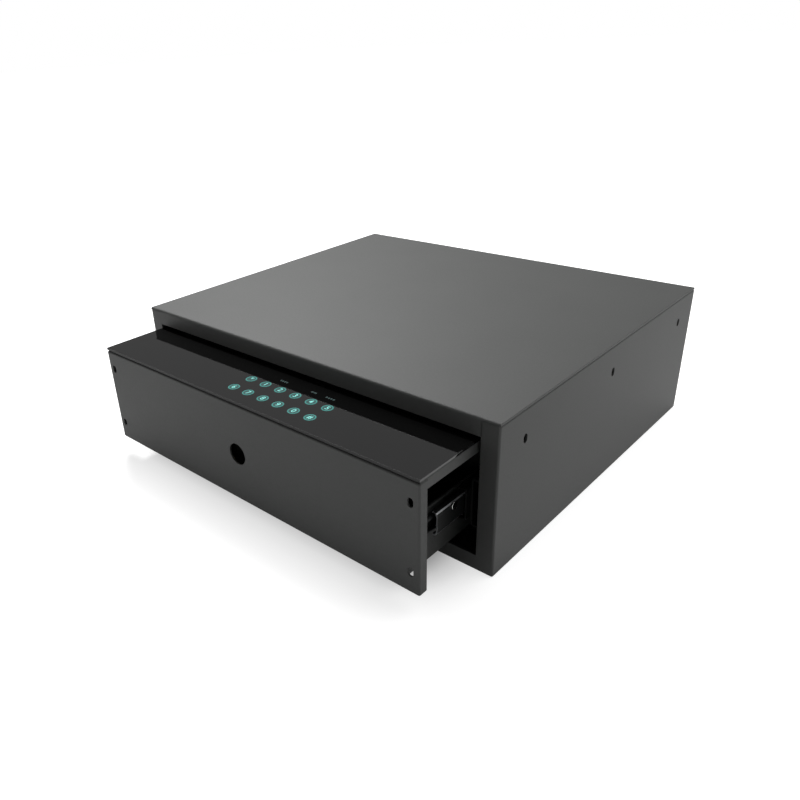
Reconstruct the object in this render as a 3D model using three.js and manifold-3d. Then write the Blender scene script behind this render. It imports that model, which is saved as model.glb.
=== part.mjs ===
// Under desk drawer safe: a sheet steel housing with a drawer on ball slides, drawn 65 mm open.
// Millimetres. X is right, Y is back, Z is up. The origin is the centre of the housing's underside.
import * as THREE from 'three';
import { mergeVertices } from 'three/addons/utils/BufferGeometryUtils.js';
import Module from 'manifold-3d';

const wasm = await Module();
wasm.setup();

// Housing
const housingWidth = 400;
const housingDepth = 345;
const housingHeight = 128.5;
const bodySheet = 1.5;
const coverSheet = 2;
const bendRadius = 1.5;
const coverEdge = 0.5;
const frameSide = 14.7;
const frameBottom = 13.7;
const frameTop = 14.7;
const rimFlange = 12;
const backRecess = 2;
const weldGap = 0.3;

// Slots for fixing screws, upright, in the housing sides and the drawer front
const slotWidth = 5;
const slotHeight = 7.5;
const sideSlotDrop = 25.9;
const sideSlotSetback = 34.4;
const sideSlotPitch = 139.7;
const sideSlotCount = 3;
const frontSlotInset = 7.8;
const frontSlotDrop = 16.8;
const frontSlotRise = 17.9;

// Drawer front, lid and touch panel
const frontGapSide = 2.5;
const frontGapBottom = 2.7;
const frontGapTop = 2.8;
const frontSheet = 1.5;
const frontFlange = 8;
const frontBend = 1.2;
const panelThickness = 2;
const panelDepth = 75;
const panelSetback = 0.3;
const lidSheet = 1.2;
const lidFlange = 8.7;
const lidInset = 0.3;
const sheetGap = 0.3;

// How far the drawer stands open
const drawerOpen = 64.8;

// Tray
const trayInset = 36.8;
const traySheet = 1.2;
const traySideHeight = 46;
const trayHem = 8;

// Ball slides, a section seen from the front: distances out from the tray wall and up from the middle
const slideLength = 300;
const slideSetback = 3;
const slideHeight = 27;
const slideThickness = 10.4;
const slideSheet = 1.2;
const slideCentre = 51.2;
const slideLip = 2.9;
const slideLipUp = 10.65;
const middleProfile = [[3.8, 9.6], [5.4, 9.4], [6.7, 8.6], [7.6, 6.8]];
const innerProfile = [[4, 4.4], [3.7, 6], [2.2, 6.6], [slideSheet / 2, 5.2]];
const cageSheet = 0.5;
const cageLength = 70;
const outerCageProfile = [[4.4, 11.25], [8.7, 11.25]];
const outerCageSetback = 90;
const innerCageProfile = [[2.6, 7.9], [5.4, 7.9]];
const innerCageSetback = 110;
const rivetSetback = 23.3;
const rivetUp = 6;
const rivetHeadRadius = 3.2;
const rivetHead = 0.6;
const rivetShankRadius = 1.4;
const rivetTail = 0.4;

// Brackets between the slides and the housing walls
const bracketSheet = 1.5;
const bracketHeight = 40;
const bracketLip = 13;
const bracketGap = 1;
const bracketLength = 300;

// Screws
const screwRadius = 2;
const screwHeadRadius = 3.5;
const screwHead = 1.9;
const screwHeadEdge = 1;
const screwHeadTop = 2.5;
const screwSink = 0.05;
const screwLength = 8;
const slideScrewLength = 3;
const screwClearance = 0.3;
const frontScrewSetback = 55;
const rearScrewSetback = 268;

// Control box inside the front of the tray
const controlWidth = 240;
const controlSetback = 14.8;
const controlDepth = 91.2;
const controlSheet = 1.2;

// Touch keys and the board behind them
const keyPitchX = 17.35;
const keyPitchY = 18.8;
const keyColumns = 6;
const keyRows = 2;
const keyRadius = 5.25;
const keypadCentreX = 25.1;
const firstRowSetback = 17.8;
const boardMargin = 6;
const boardThickness = 1;

// Override lock
const lockHoleRadius = 9.5;
const lockX = -1.4;
const lockDrop = 45.7;
const cylinderRadius = 9;
const cylinderHeadRadius = 11;
const cylinderHead = 3;
const cylinderLength = 26;
const nutRadius = 12.5;
const nutThickness = 4;
const nutSides = 6;
const plugRadius = 6;
const plugGap = 0.3;
const keywayWidth = 8;
const keywayHeight = 2.2;
const keywayDepth = 18;
const plugProud = 1;
const tailWidth = 5;
const tailProud = 1;
const camHubRadius = 5;
const camLength = 10.5;
const camWidth = 4;
const camThickness = 4;

// Bolt work
const caseWidth = 66;
const caseHeight = 60;
const caseDepth = 19;
const caseWall = 1.6;
const caseOffsetX = 14;
const boltWidth = 10;
const boltDepth = 8;
const boltHeight = 54.5;
const boltOffsetX = 16.4;
const boltSetIn = 7.6;
const boltDrop = 0.6;
const boltThrow = 10;
const boltGap = 0.3;
const lugLength = 6;
const lugHeight = 5.5;
const gearModule = 1;
const toothTip = 0.9;
const toothRoot = 1.25;
const pressureAngle = THREE.MathUtils.degToRad(20);
const pinionTeeth = 12;
const pinionWidth = 6;
const pinionRise = 14.9;
const gearBacklash = 0.3;
const rackTeeth = 8;
const rackOverlap = 0.5;
const motorShaftRadius = 1.5;
const motorWidth = 12;
const motorHeight = 10;
const motorLength = 24;
const strikerWidth = 24;
const strikerGap = 0.3;
const strikerThickness = 3;
const strikerDrop = 12;
const strikerFoot = 11;

// Batteries
const cellRadius = 7.1;
const cellLength = 50;
const cellTip = 1;
const cellTipRadius = 2.7;
const cellCount = 4;
const cellPitch = 14.6;
const cellGap = 0.3;
const holderWall = 1.5;
const holderX = 58;
const batteryCoverMargin = 4;
const batteryCoverThickness = 1.5;
const batteryCoverHeight = 20;
const batteryCoverLift = 0.5;
const batteryCoverEdge = 1;

// Rubber parts
const bumperRadius = 7;
const bumperLength = 21.2;
const bumperX = 120;
const bumperZ = 40;
const bumperGap = 0.3;
const matThickness = 2;
const matGap = 0.5;

// How finely round shapes are drawn
const roundSides = 24;
const smallSides = 16;
const bendSteps = 4;

// How far a cut runs past what it goes through
const cutPast = 1;

// Sizes that follow
const half = housingWidth / 2;
const coverUnderside = housingHeight - coverSheet;
const innerHalf = half - bodySheet;
const openingHalf = half - frameSide;
const openingTop = housingHeight - frameTop;
const backOuter = housingDepth - backRecess;
const backInner = backOuter - bodySheet;
const panelTop = openingTop - frontGapTop;
const lidTop = panelTop - panelThickness;
const frontTop = lidTop - lidSheet;
const frontBottom = frameBottom + frontGapBottom;
const frontHalf = openingHalf - frontGapSide;
const lockZ = frontTop - lockDrop;
const lidHalf = frontHalf - lidInset;
const trayHalf = half - trayInset;
const trayFloor = frontBottom + traySheet;
const trayTop = frontBottom + traySideHeight;
const trayEnd = backInner - bumperLength - bumperGap;
const bracketFace = trayHalf + slideThickness;
const bracketFront = frontFlange + bracketGap;
const controlBack = controlSetback + controlDepth;
const controlHalf = controlWidth / 2;
const lidEnd = controlBack + sheetGap + lidSheet;
const wingReach = trayHalf - traySheet - sheetGap;
const caseBack = controlBack - controlSheet;
const caseFront = caseBack - caseDepth;
const caseCentreX = lockX + caseOffsetX;
const caseTop = frontTop - sheetGap;
const caseBottom = caseTop - caseHeight;
const coverFront = caseFront - caseWall;
const boltX = lockX + boltOffsetX;
const boltBack = caseBack - boltSetIn + boltDepth / 2;
const boltFront = boltBack - boltDepth;
const boltY = (boltFront + boltBack) / 2;
const boltTop = lidTop - boltDrop;
const boltBottom = boltTop - boltHeight;
const strikerBack = boltFront - drawerOpen - strikerGap;
const pitchRadius = gearModule * pinionTeeth / 2;
const rackPitch = Math.PI * gearModule;
const rackFace = boltX + boltWidth / 2;
const pinionX = rackFace + toothRoot + pitchRadius;
const pinionHeight = lockZ + pinionRise;
const cylinderFront = controlSetback - cylinderHead;
const cylinderBack = cylinderFront + cylinderHead + cylinderLength;
const holderWidth = cellLength + 2 * (holderWall + cellGap);
const holderDepth = cellCount * cellPitch + 2 * holderWall;
const holderHeight = holderWall + cellGap + 2 * cellRadius;
const holderBack = controlBack - controlSheet - sheetGap;
const holderFront = holderBack - holderDepth;
const slideEnd = slideSetback + slideLength;
const screwSetbacks = [frontScrewSetback, rearScrewSetback];
const boltSpaceX = [boltX - boltWidth / 2 - boltGap, rackFace + toothRoot + toothTip + boltGap];
const boltSpaceY = [boltFront - boltGap, boltBack + boltGap];

// Turns a closed three.js geometry into a solid that can be cut and joined
function solid(geometry) {
  geometry.deleteAttribute('normal');
  geometry.deleteAttribute('uv');
  const merged = mergeVertices(geometry, 1e-4);
  const mesh = new wasm.Mesh({
    numProp: 3,
    vertProperties: merged.attributes.position.array,
    triVerts: new Uint32Array(merged.index.array),
  });
  return new wasm.Manifold(mesh);
}

// A block between two limits along each axis
function block([x0, x1], [y0, y1], [z0, z1]) {
  const geometry = new THREE.BoxGeometry(x1 - x0, y1 - y0, z1 - z0);
  geometry.translate((x0 + x1) / 2, (y0 + y1) / 2, (z0 + z1) / 2);
  return solid(geometry);
}

// The world directions that an outline's two axes and its extrusion take
const outlineBases = {
  x: [new THREE.Vector3(0, 1, 0), new THREE.Vector3(0, 0, 1), new THREE.Vector3(1, 0, 0)],
  y: [new THREE.Vector3(1, 0, 0), new THREE.Vector3(0, 0, 1), new THREE.Vector3(0, -1, 0)],
  z: [new THREE.Vector3(1, 0, 0), new THREE.Vector3(0, 1, 0), new THREE.Vector3(0, 0, 1)],
};

// An outline pushed along an axis from one place to another
function prism(axis, shape, from, to) {
  const geometry = new THREE.ExtrudeGeometry(shape, {
    depth: to - from,
    bevelEnabled: false,
    curveSegments: bendSteps,
  });
  if (axis === 'y') geometry.translate(0, 0, -to);
  else geometry.translate(0, 0, from);
  geometry.applyMatrix4(new THREE.Matrix4().makeBasis(...outlineBases[axis]));
  return solid(geometry);
}

function polygon(points) {
  return new THREE.Shape(points.map(([u, v]) => new THREE.Vector2(u, v)));
}

// A rectangle whose corners are rounded one by one, from the low corner round to the left
function rectangle(u0, u1, v0, v1, [lowLeft, lowRight, highRight, highLeft]) {
  const shape = new THREE.Shape();
  const corner = (u, v, radius, start) => {
    if (radius > 0) shape.absarc(u, v, radius, start, start + Math.PI / 2, false);
    else shape.lineTo(u, v);
  };
  shape.moveTo(u0 + lowLeft, v0);
  corner(u1 - lowRight, v0 + lowRight, lowRight, -Math.PI / 2);
  corner(u1 - highRight, v1 - highRight, highRight, 0);
  corner(u0 + highLeft, v1 - highLeft, highLeft, Math.PI / 2);
  corner(u0 + lowLeft, v0 + lowLeft, lowLeft, Math.PI);
  return shape;
}

// A block whose edges are rounded as bent sheet is: plan, front and side views give the corner radii
function foldedBlock([x0, x1], [y0, y1], [z0, z1], plan, front, side) {
  const seenFromAbove = prism('z', rectangle(x0, x1, y0, y1, plan), z0, z1);
  const seenFromFront = prism('y', rectangle(x0, x1, z0, z1, front), y0, y1);
  const seenFromSide = prism('x', rectangle(y0, y1, z0, z1, side), x0, x1);
  return seenFromAbove.intersect(seenFromFront).intersect(seenFromSide);
}

// A round bar along an axis through a point
function bar(axis, [x, y, z], radius, from, to, sides = roundSides) {
  const geometry = new THREE.CylinderGeometry(radius, radius, to - from, sides);
  const middle = (from + to) / 2;
  if (axis === 'x') geometry.rotateZ(Math.PI / 2).translate(middle, y, z);
  if (axis === 'y') geometry.translate(x, middle, z);
  if (axis === 'z') geometry.rotateX(Math.PI / 2).translate(x, y, middle);
  return solid(geometry);
}

// The outline of a bent strip of even thickness that follows a middle line
function strip(points, thickness) {
  const line = points.map(([u, v]) => new THREE.Vector2(u, v));
  const normals = line.slice(1).map((point, i) => {
    const along = point.clone().sub(line[i]).normalize();
    return new THREE.Vector2(-along.y, along.x);
  });
  const offset = (i, distance) => {
    const before = normals[Math.max(i - 1, 0)];
    const after = normals[Math.min(i, normals.length - 1)];
    const mitre = before.clone().add(after).normalize();
    return line[i].clone().addScaledVector(mitre, distance / mitre.dot(after));
  };
  const left = line.map((point, i) => offset(i, thickness / 2));
  const right = line.map((point, i) => offset(i, -thickness / 2));
  return new THREE.Shape([...left, ...right.reverse()]);
}

// An upright slot with round ends, cut along an axis
function uprightSlot(axis, u, z, from, to) {
  const radius = slotWidth / 2;
  const reach = slotHeight / 2 - radius;
  const shape = new THREE.Shape();
  shape.absarc(u, z + reach, radius, 0, Math.PI, false);
  shape.absarc(u, z - reach, radius, Math.PI, 2 * Math.PI, false);
  return prism(axis, shape, from, to);
}

// Limits along X between two distances from the middle, on one side of it
function sideSpan(side, near, far) {
  return [side * near, side * far].sort((a, b) => a - b);
}

function cutFrom(base, ...tools) {
  return tools.reduce((rest, tool) => rest.subtract(tool), base);
}

function joined(first, ...others) {
  return others.reduce((whole, other) => whole.add(other), first);
}

const finishes = {
  powderCoat: { color: 0x2b2c2c, roughness: 0.45, metalness: 0 },
  slideBlack: { color: 0x17181a, roughness: 0.35, metalness: 0.6 },
  zinc: { color: 0xc9ccce, roughness: 0.3, metalness: 1 },
  hardSteel: { color: 0x8d9093, roughness: 0.35, metalness: 1 },
  brass: { color: 0xb8924a, roughness: 0.35, metalness: 1 },
  glossBlack: { color: 0x050506, roughness: 0.04, metalness: 0 },
  blackPlastic: { color: 0x1a1a1b, roughness: 0.6, metalness: 0 },
  greyPlastic: { color: 0x55585c, roughness: 0.55, metalness: 0 },
  circuitBoard: { color: 0x14361f, roughness: 0.5, metalness: 0 },
  cellLabel: { color: 0x2f4f6b, roughness: 0.4, metalness: 0.2 },
  rubber: { color: 0x161616, roughness: 0.9, metalness: 0 },
  foam: { color: 0x222325, roughness: 0.95, metalness: 0 },
};

// A named mesh of a finished solid
function piece(name, body, finish) {
  const { vertProperties, triVerts, numProp } = body.getMesh();
  const geometry = new THREE.BufferGeometry();
  const positions = new Float32Array(vertProperties.length / numProp * 3);
  for (let i = 0; i < positions.length / 3; i += 1) {
    positions.set(vertProperties.subarray(i * numProp, i * numProp + 3), i * 3);
  }
  geometry.setAttribute('position', new THREE.BufferAttribute(positions, 3));
  geometry.setIndex(new THREE.BufferAttribute(new Uint32Array(triVerts), 1));
  geometry.computeVertexNormals();
  const mesh = new THREE.Mesh(geometry, new THREE.MeshStandardMaterial(finishes[finish]));
  mesh.name = name;
  return mesh;
}

// In every group, Y starts at the housing's front face and the drawer is closed: each group is then
// moved out by its own share of the drawer's opening.
const safe = new THREE.Group();
function movingGroup(share) {
  const group = new THREE.Group();
  group.position.set(0, -housingDepth / 2 - share * drawerOpen, 0);
  safe.add(group);
  return group;
}
const fixed = movingGroup(0);
const drawer = movingGroup(1);
const middleMembers = movingGroup(1 / 2);
const outerCages = movingGroup(1 / 4);
const innerCages = movingGroup(3 / 4);

const sides = [['left', -1], ['right', 1]];
const backScrewX = innerHalf - rimFlange / 2;
const backScrewHeights = [bodySheet + rimFlange / 2, coverUnderside - bodySheet - rimFlange / 2];
const backScrewPlaces = sides.flatMap(([, side]) => backScrewHeights.map((z) => [side * backScrewX, z]));

function screwHole(axis, centre, from, to) {
  return bar(axis, centre, screwRadius + screwClearance, from, to, smallSides);
}

// Bottom, sides, lower front frame and the flanges under the cover and behind the back panel
function housingBody() {
  const outer = foldedBlock(
    [-half, half], [0, housingDepth], [0, coverUnderside],
    [bendRadius, bendRadius, 0, 0],
    [bendRadius, bendRadius, bendRadius, bendRadius],
    [bendRadius, 0, 0, 0],
  );
  const above = coverUnderside + cutPast;
  const cavity = block([-innerHalf, innerHalf], [bodySheet, backInner - bodySheet],
    [bodySheet, coverUnderside - bodySheet]);
  const rim = innerHalf - rimFlange;
  const topOpening = block([-rim, rim], [bodySheet, backInner - bodySheet - rimFlange],
    [coverUnderside - 2 * bodySheet, above]);
  const frontOpening = block([-openingHalf, openingHalf], [-cutPast, bodySheet + cutPast],
    [frameBottom, above]);
  const rearOpening = block([-rim, rim], [backInner - 2 * bodySheet, backInner + cutPast],
    [bodySheet + rimFlange, coverUnderside - bodySheet - rimFlange]);
  const rearRecess = block([-innerHalf, innerHalf], [backInner, housingDepth + cutPast],
    [bodySheet, above]);
  const slots = [];
  for (const [, side] of sides) {
    for (let i = 0; i < sideSlotCount; i += 1) {
      const y = sideSlotSetback + i * sideSlotPitch;
      const through = sideSpan(side, innerHalf - cutPast, half + cutPast);
      slots.push(uprightSlot('x', y, housingHeight - sideSlotDrop, ...through));
    }
  }
  const screwHoles = backScrewPlaces.map(([x, z]) => screwHole('y', [x, 0, z],
    backInner - 2 * bodySheet, backInner + cutPast));
  return cutFrom(outer, cavity, topOpening, frontOpening, rearOpening, rearRecess, ...slots, ...screwHoles);
}
fixed.add(piece('housing_body', housingBody(), 'powderCoat'));

// Top sheet, folded down in front into the upper part of the frame
function topCover() {
  const outer = foldedBlock(
    [-half, half], [0, housingDepth], [openingTop, housingHeight],
    [bendRadius, bendRadius, 0, 0],
    [0, 0, coverEdge, coverEdge],
    [0, 0, coverEdge, coverSheet],
  );
  const below = openingTop - cutPast;
  const underside = block([-half - cutPast, half + cutPast], [bodySheet, housingDepth + cutPast],
    [below, coverUnderside]);
  const ends = sides.map(([, side]) => block(sideSpan(side, openingHalf - weldGap, half + cutPast),
    [-cutPast, bodySheet + cutPast], [below, coverUnderside]));
  return cutFrom(outer, underside, ...ends);
}
fixed.add(piece('top_cover', topCover(), 'powderCoat'));

// Flat back panel, let in between the sides and screwed to the rear flanges
function backPanel() {
  const panel = block([-innerHalf + sheetGap, innerHalf - sheetGap], [backInner, backOuter],
    [bodySheet + sheetGap, coverUnderside - sheetGap]);
  const holes = backScrewPlaces.map(([x, z]) => screwHole('y', [x, 0, z],
    backInner - cutPast, backOuter + cutPast));
  return cutFrom(panel, ...holes);
}
fixed.add(piece('back_panel', backPanel(), 'powderCoat'));

// Pan head screw along Y, its head at the back
function panHeadScrew([x, z], headUnderside) {
  const profile = [
    [0, -screwLength],
    [screwRadius, -screwLength],
    [screwRadius, 0],
    [screwHeadRadius, 0],
    [screwHeadRadius, screwHeadEdge],
    [screwHeadTop, screwHead],
    [0, screwHead],
  ].map(([radius, along]) => new THREE.Vector2(radius, along));
  const geometry = new THREE.LatheGeometry(profile, smallSides);
  geometry.translate(x, headUnderside, z);
  return solid(geometry);
}
backScrewPlaces.forEach((place, i) => {
  fixed.add(piece(`back_screw_${i + 1}`, panHeadScrew(place, backOuter), 'zinc'));
});

// Limits along X between two distances out from the tray wall
function outward(side, near, far) {
  return sideSpan(side, trayHalf + near, trayHalf + far);
}

// A slide section: its upper half, mirrored top to bottom and moved to its side
function slideSection(side, upperHalf, thickness) {
  const lowerHalf = upperHalf.map(([out, up]) => [out, -up]).reverse();
  const line = [...upperHalf, ...lowerHalf].map(([out, up]) => [side * (trayHalf + out), slideCentre + up]);
  return strip(line, thickness);
}

const cabinetWebOut = slideThickness - slideSheet / 2;
const cabinetFlangeUp = slideHeight / 2 - slideSheet / 2;
const cabinetProfile = [
  [slideLip, slideLipUp],
  [slideLip, cabinetFlangeUp],
  [cabinetWebOut - slideSheet / 2, cabinetFlangeUp],
  [cabinetWebOut, cabinetFlangeUp - slideSheet / 2],
];
const [middleWebOut] = middleProfile.at(-1);
const middleFace = middleWebOut + slideSheet / 2;

// Screw across a slide: its flat head lies in the member's web, its shank in the sheet behind
function slideScrew(side, out, direction, y) {
  const centre = [0, y, slideCentre];
  const headEnd = out + direction * (slideSheet - screwSink);
  const shankEnd = out - direction * slideScrewLength;
  return joined(
    bar('x', centre, screwHeadRadius, ...outward(side, out, headEnd), smallSides),
    bar('x', centre, screwRadius, ...outward(side, shankEnd, headEnd), smallSides),
  );
}

// Holes in a member's web for the heads of its screws
function headHoles(side, out, direction) {
  const limits = outward(side, out - direction * cutPast, out + direction * (slideSheet + cutPast));
  const radius = screwHeadRadius + screwClearance;
  return screwSetbacks.map((y) => bar('x', [0, y, slideCentre], radius, ...limits, smallSides));
}

// Holes in the sheet behind for their shanks
function shankHoles(side, out, direction, thickness) {
  const limits = outward(side, out + direction * cutPast, out - direction * (thickness + cutPast));
  return screwSetbacks.map((y) => screwHole('x', [0, y, slideCentre], ...limits));
}

for (const [name, side] of sides) {
  // Hat shaped bracket, spot welded to the housing wall, that carries the cabinet member
  const wallX = innerHalf - bracketSheet / 2;
  const webX = bracketFace + bracketSheet / 2;
  const upper = bracketHeight / 2;
  const hat = [
    [wallX, upper + bracketLip],
    [wallX, upper],
    [webX, upper],
    [webX, -upper],
    [wallX, -upper],
    [wallX, -upper - bracketLip],
  ].map(([x, up]) => [side * x, slideCentre + up]);
  const bracket = prism('y', strip(hat, bracketSheet), bracketFront, bracketFront + bracketLength);
  fixed.add(piece(`slide_bracket_${name}`,
    cutFrom(bracket, ...shankHoles(side, slideThickness, -1, bracketSheet)), 'powderCoat'));

  // Cabinet member, screwed to the bracket
  const cabinet = prism('y', slideSection(side, cabinetProfile, slideSheet), slideSetback, slideEnd);
  fixed.add(piece(`cabinet_slide_${name}`,
    cutFrom(cabinet, ...headHoles(side, slideThickness, -1)), 'slideBlack'));

  // Middle member with its stop rivet
  const middle = prism('y', slideSection(side, middleProfile, slideSheet), slideSetback, slideEnd);
  const rivetCentre = [0, rivetSetback, slideCentre + rivetUp];
  const rivetHole = bar('x', rivetCentre, rivetShankRadius + screwClearance,
    ...outward(side, middleFace - slideSheet - cutPast, middleFace + cutPast), smallSides);
  const rivetTop = middleFace + rivetHead;
  const rivet = joined(
    bar('x', rivetCentre, rivetHeadRadius, ...outward(side, middleFace, rivetTop), smallSides),
    bar('x', rivetCentre, rivetShankRadius,
      ...outward(side, middleFace - slideSheet - rivetTail, rivetTop), smallSides),
  );
  middleMembers.add(piece(`middle_slide_${name}`, cutFrom(middle, rivetHole), 'slideBlack'));
  middleMembers.add(piece(`stop_rivet_${name}`, rivet, 'zinc'));

  // Drawer member, screwed to the tray wall
  const inner = prism('y', slideSection(side, innerProfile, slideSheet), slideSetback, slideEnd);
  drawer.add(piece(`drawer_slide_${name}`,
    cutFrom(inner, ...headHoles(side, 0, 1)), 'slideBlack'));
  screwSetbacks.forEach((y, i) => {
    fixed.add(piece(`cabinet_slide_screw_${name}_${i + 1}`, slideScrew(side, slideThickness, -1, y), 'zinc'));
    drawer.add(piece(`drawer_slide_screw_${name}_${i + 1}`, slideScrew(side, 0, 1, y), 'zinc'));
  });

  // Ball cages, one between each pair of members
  const ballCage = (profile, setback) => prism('y', slideSection(side, profile, cageSheet),
    setback, setback + cageLength);
  outerCages.add(piece(`outer_ball_cage_${name}`, ballCage(outerCageProfile, outerCageSetback), 'zinc'));
  innerCages.add(piece(`inner_ball_cage_${name}`, ballCage(innerCageProfile, innerCageSetback), 'zinc'));
}

// Angle welded under the cover: a raised bolt meets it and keeps the drawer from opening further
function striker() {
  const x = [boltX - strikerWidth / 2, boltX + strikerWidth / 2];
  const leg = block(x, [strikerBack - strikerThickness, strikerBack],
    [coverUnderside - strikerDrop, coverUnderside]);
  const foot = block(x, [strikerBack - strikerThickness - strikerFoot, strikerBack],
    [coverUnderside - strikerThickness, coverUnderside]);
  return leg.add(foot);
}
fixed.add(piece('striker', striker(), 'zinc'));

for (const [name, side] of sides) {
  const place = [side * bumperX, 0, bumperZ];
  fixed.add(piece(`bumper_${name}`,
    bar('y', place, bumperRadius, backInner - bumperLength, backInner), 'rubber'));
}

// Drawer tray: floor, back, front and hemmed sides
function tray() {
  const front = frontSheet;
  const outer = foldedBlock(
    [-trayHalf, trayHalf], [front, trayEnd], [frontBottom, trayTop],
    [0, 0, 0, 0],
    [traySheet, traySheet, 0, 0],
    [0, 0, 0, 0],
  );
  const inside = trayHalf - traySheet;
  const cavity = block([-inside, inside], [front + traySheet, trayEnd - traySheet],
    [trayFloor, trayTop + cutPast]);
  const hems = sides.map(([, side]) => block(sideSpan(side, inside - traySheet, inside + traySheet / 2),
    [front + traySheet / 2, trayEnd - traySheet / 2], [trayTop - trayHem, trayTop]));
  const notch = block([-trayHalf - cutPast, trayHalf + cutPast], [front - cutPast, frontFlange + sheetGap],
    [frontBottom - cutPast, frontBottom + frontSheet + sheetGap]);
  const lockNotch = bar('y', [lockX, 0, lockZ], nutRadius, front - cutPast, front + traySheet + cutPast);
  const holes = sides.flatMap(([, side]) => shankHoles(side, 0, 1, traySheet));
  return cutFrom(joined(cutFrom(outer, cavity), ...hems), notch, lockNotch, ...holes);
}
drawer.add(piece('drawer_tray', tray(), 'powderCoat'));

// Front plate, flanged back all round
function frontPlate() {
  const outer = foldedBlock(
    [-frontHalf, frontHalf], [0, frontFlange], [frontBottom, frontTop],
    [frontBend, frontBend, 0, 0],
    [frontBend / 2, frontBend / 2, frontBend / 2, frontBend / 2],
    [frontBend, 0, 0, frontBend],
  );
  const cavity = block([-frontHalf + frontSheet, frontHalf - frontSheet], [frontSheet, frontFlange + cutPast],
    [frontBottom + frontSheet, frontTop - frontSheet]);
  const lockHole = bar('y', [lockX, 0, lockZ], lockHoleRadius, -cutPast, frontSheet + cutPast);
  const slotHeights = [frontTop - frontSlotDrop, frontBottom + frontSlotRise];
  const slots = sides.flatMap(([, side]) => slotHeights.map((z) => uprightSlot('y',
    side * (frontHalf - frontSlotInset), z, -cutPast, frontSheet + cutPast)));
  return cutFrom(outer, cavity, lockHole, ...slots);
}
drawer.add(piece('front_plate', frontPlate(), 'powderCoat'));

// Where the battery cover's screw goes
const coverReach = holderWidth / 2 + batteryCoverMargin;
const coverScrewX = holderX + coverReach + screwHeadRadius;
const coverScrewZ = trayFloor + batteryCoverLift + batteryCoverHeight / 2;

// Control box: four walls on the tray floor, its back widened into the bulkhead across the tray
function controlBox() {
  const wallBack = controlBack - controlSheet;
  const outline = polygon([
    [-controlHalf, controlSetback],
    [controlHalf, controlSetback],
    [controlHalf, wallBack],
    [wingReach, wallBack],
    [wingReach, controlBack],
    [-wingReach, controlBack],
    [-wingReach, wallBack],
    [-controlHalf, wallBack],
  ]);
  const walls = prism('z', outline, trayFloor, frontTop);
  const inside = block([-controlHalf + controlSheet, controlHalf - controlSheet],
    [controlSetback + controlSheet, wallBack], [trayFloor - cutPast, frontTop + cutPast]);
  const throughBack = [wallBack - cutPast, controlBack + cutPast];
  const hemClearance = sides.map(([, side]) => block(
    sideSpan(side, wingReach - traySheet - sheetGap, trayHalf + cutPast),
    throughBack,
    [trayTop - trayHem - sheetGap, trayTop + sheetGap],
  ));
  const lockHole = bar('y', [lockX, 0, lockZ], cylinderRadius + plugGap, controlSetback - cutPast,
    controlSetback + controlSheet + cutPast);
  const batteryOpening = block([holderX - holderWidth / 2, holderX + holderWidth / 2], throughBack,
    [trayFloor + holderWall, trayFloor + holderHeight]);
  const coverScrewHole = screwHole('y', [coverScrewX, 0, coverScrewZ], ...throughBack);
  return cutFrom(walls, inside, ...hemClearance, lockHole, batteryOpening, coverScrewHole);
}
drawer.add(piece('control_box', controlBox(), 'powderCoat'));

// Where the keypad board lies
const boardHalf = ((keyColumns - 1) * keyPitchX) / 2 + keyRadius + boardMargin;
const boardX = [keypadCentreX - boardHalf, keypadCentreX + boardHalf];
const boardY = [
  firstRowSetback - keyRadius - boardMargin / 2,
  firstRowSetback + (keyRows - 1) * keyPitchY + keyRadius + boardMargin,
];

function widened([low, high], by) {
  return [low - by, high + by];
}

// Lid: a sheet with flanges turned down at the sides and back, a window for the keypad board and a bolt slot
function drawerLid() {
  const flangeBottom = lidTop - lidFlange;
  const outer = foldedBlock(
    [-lidHalf, lidHalf], [frontSheet, lidEnd], [flangeBottom, lidTop],
    [0, 0, 0, 0],
    [0, 0, lidSheet, lidSheet],
    [0, 0, lidSheet, 0],
  );
  const belowSheet = [flangeBottom - cutPast, frontTop];
  const under = block([-lidHalf + lidSheet, lidHalf - lidSheet], [frontSheet - cutPast, lidEnd - lidSheet],
    belowSheet);
  const behindFront = block([-lidHalf - cutPast, lidHalf + cutPast],
    [frontSheet - cutPast, frontFlange + sheetGap], belowSheet);
  const through = [frontTop - cutPast, lidTop + cutPast];
  const window = block(widened(boardX, sheetGap), widened(boardY, sheetGap), through);
  const boltSlot = block(boltSpaceX, boltSpaceY, through);
  return cutFrom(outer, under, behindFront, window, boltSlot);
}
drawer.add(piece('drawer_lid', drawerLid(), 'powderCoat'));

drawer.add(piece('touch_panel',
  block([-lidHalf, lidHalf], [panelSetback, panelSetback + panelDepth], [lidTop, panelTop]), 'glossBlack'));
drawer.add(piece('keypad_board', block(boardX, boardY, [lidTop - boardThickness, lidTop]), 'circuitBoard'));

// Override lock: cylinder and ring nut clamp the control box wall between them
const lockCentre = [lockX, 0, lockZ];
const cylinder = cutFrom(
  joined(
    bar('y', lockCentre, cylinderHeadRadius, cylinderFront, controlSetback),
    bar('y', lockCentre, cylinderRadius, cylinderFront, cylinderBack),
  ),
  bar('y', lockCentre, plugRadius + plugGap, cylinderFront - cutPast, cylinderBack + cutPast),
);
drawer.add(piece('key_cylinder', cylinder, 'hardSteel'));

const nutFront = controlSetback + controlSheet;
const nut = cutFrom(
  bar('y', lockCentre, nutRadius, nutFront, nutFront + nutThickness, nutSides),
  bar('y', lockCentre, cylinderRadius + plugGap, nutFront - cutPast, nutFront + nutThickness + cutPast),
);
drawer.add(piece('cylinder_nut', nut, 'zinc'));

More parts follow.
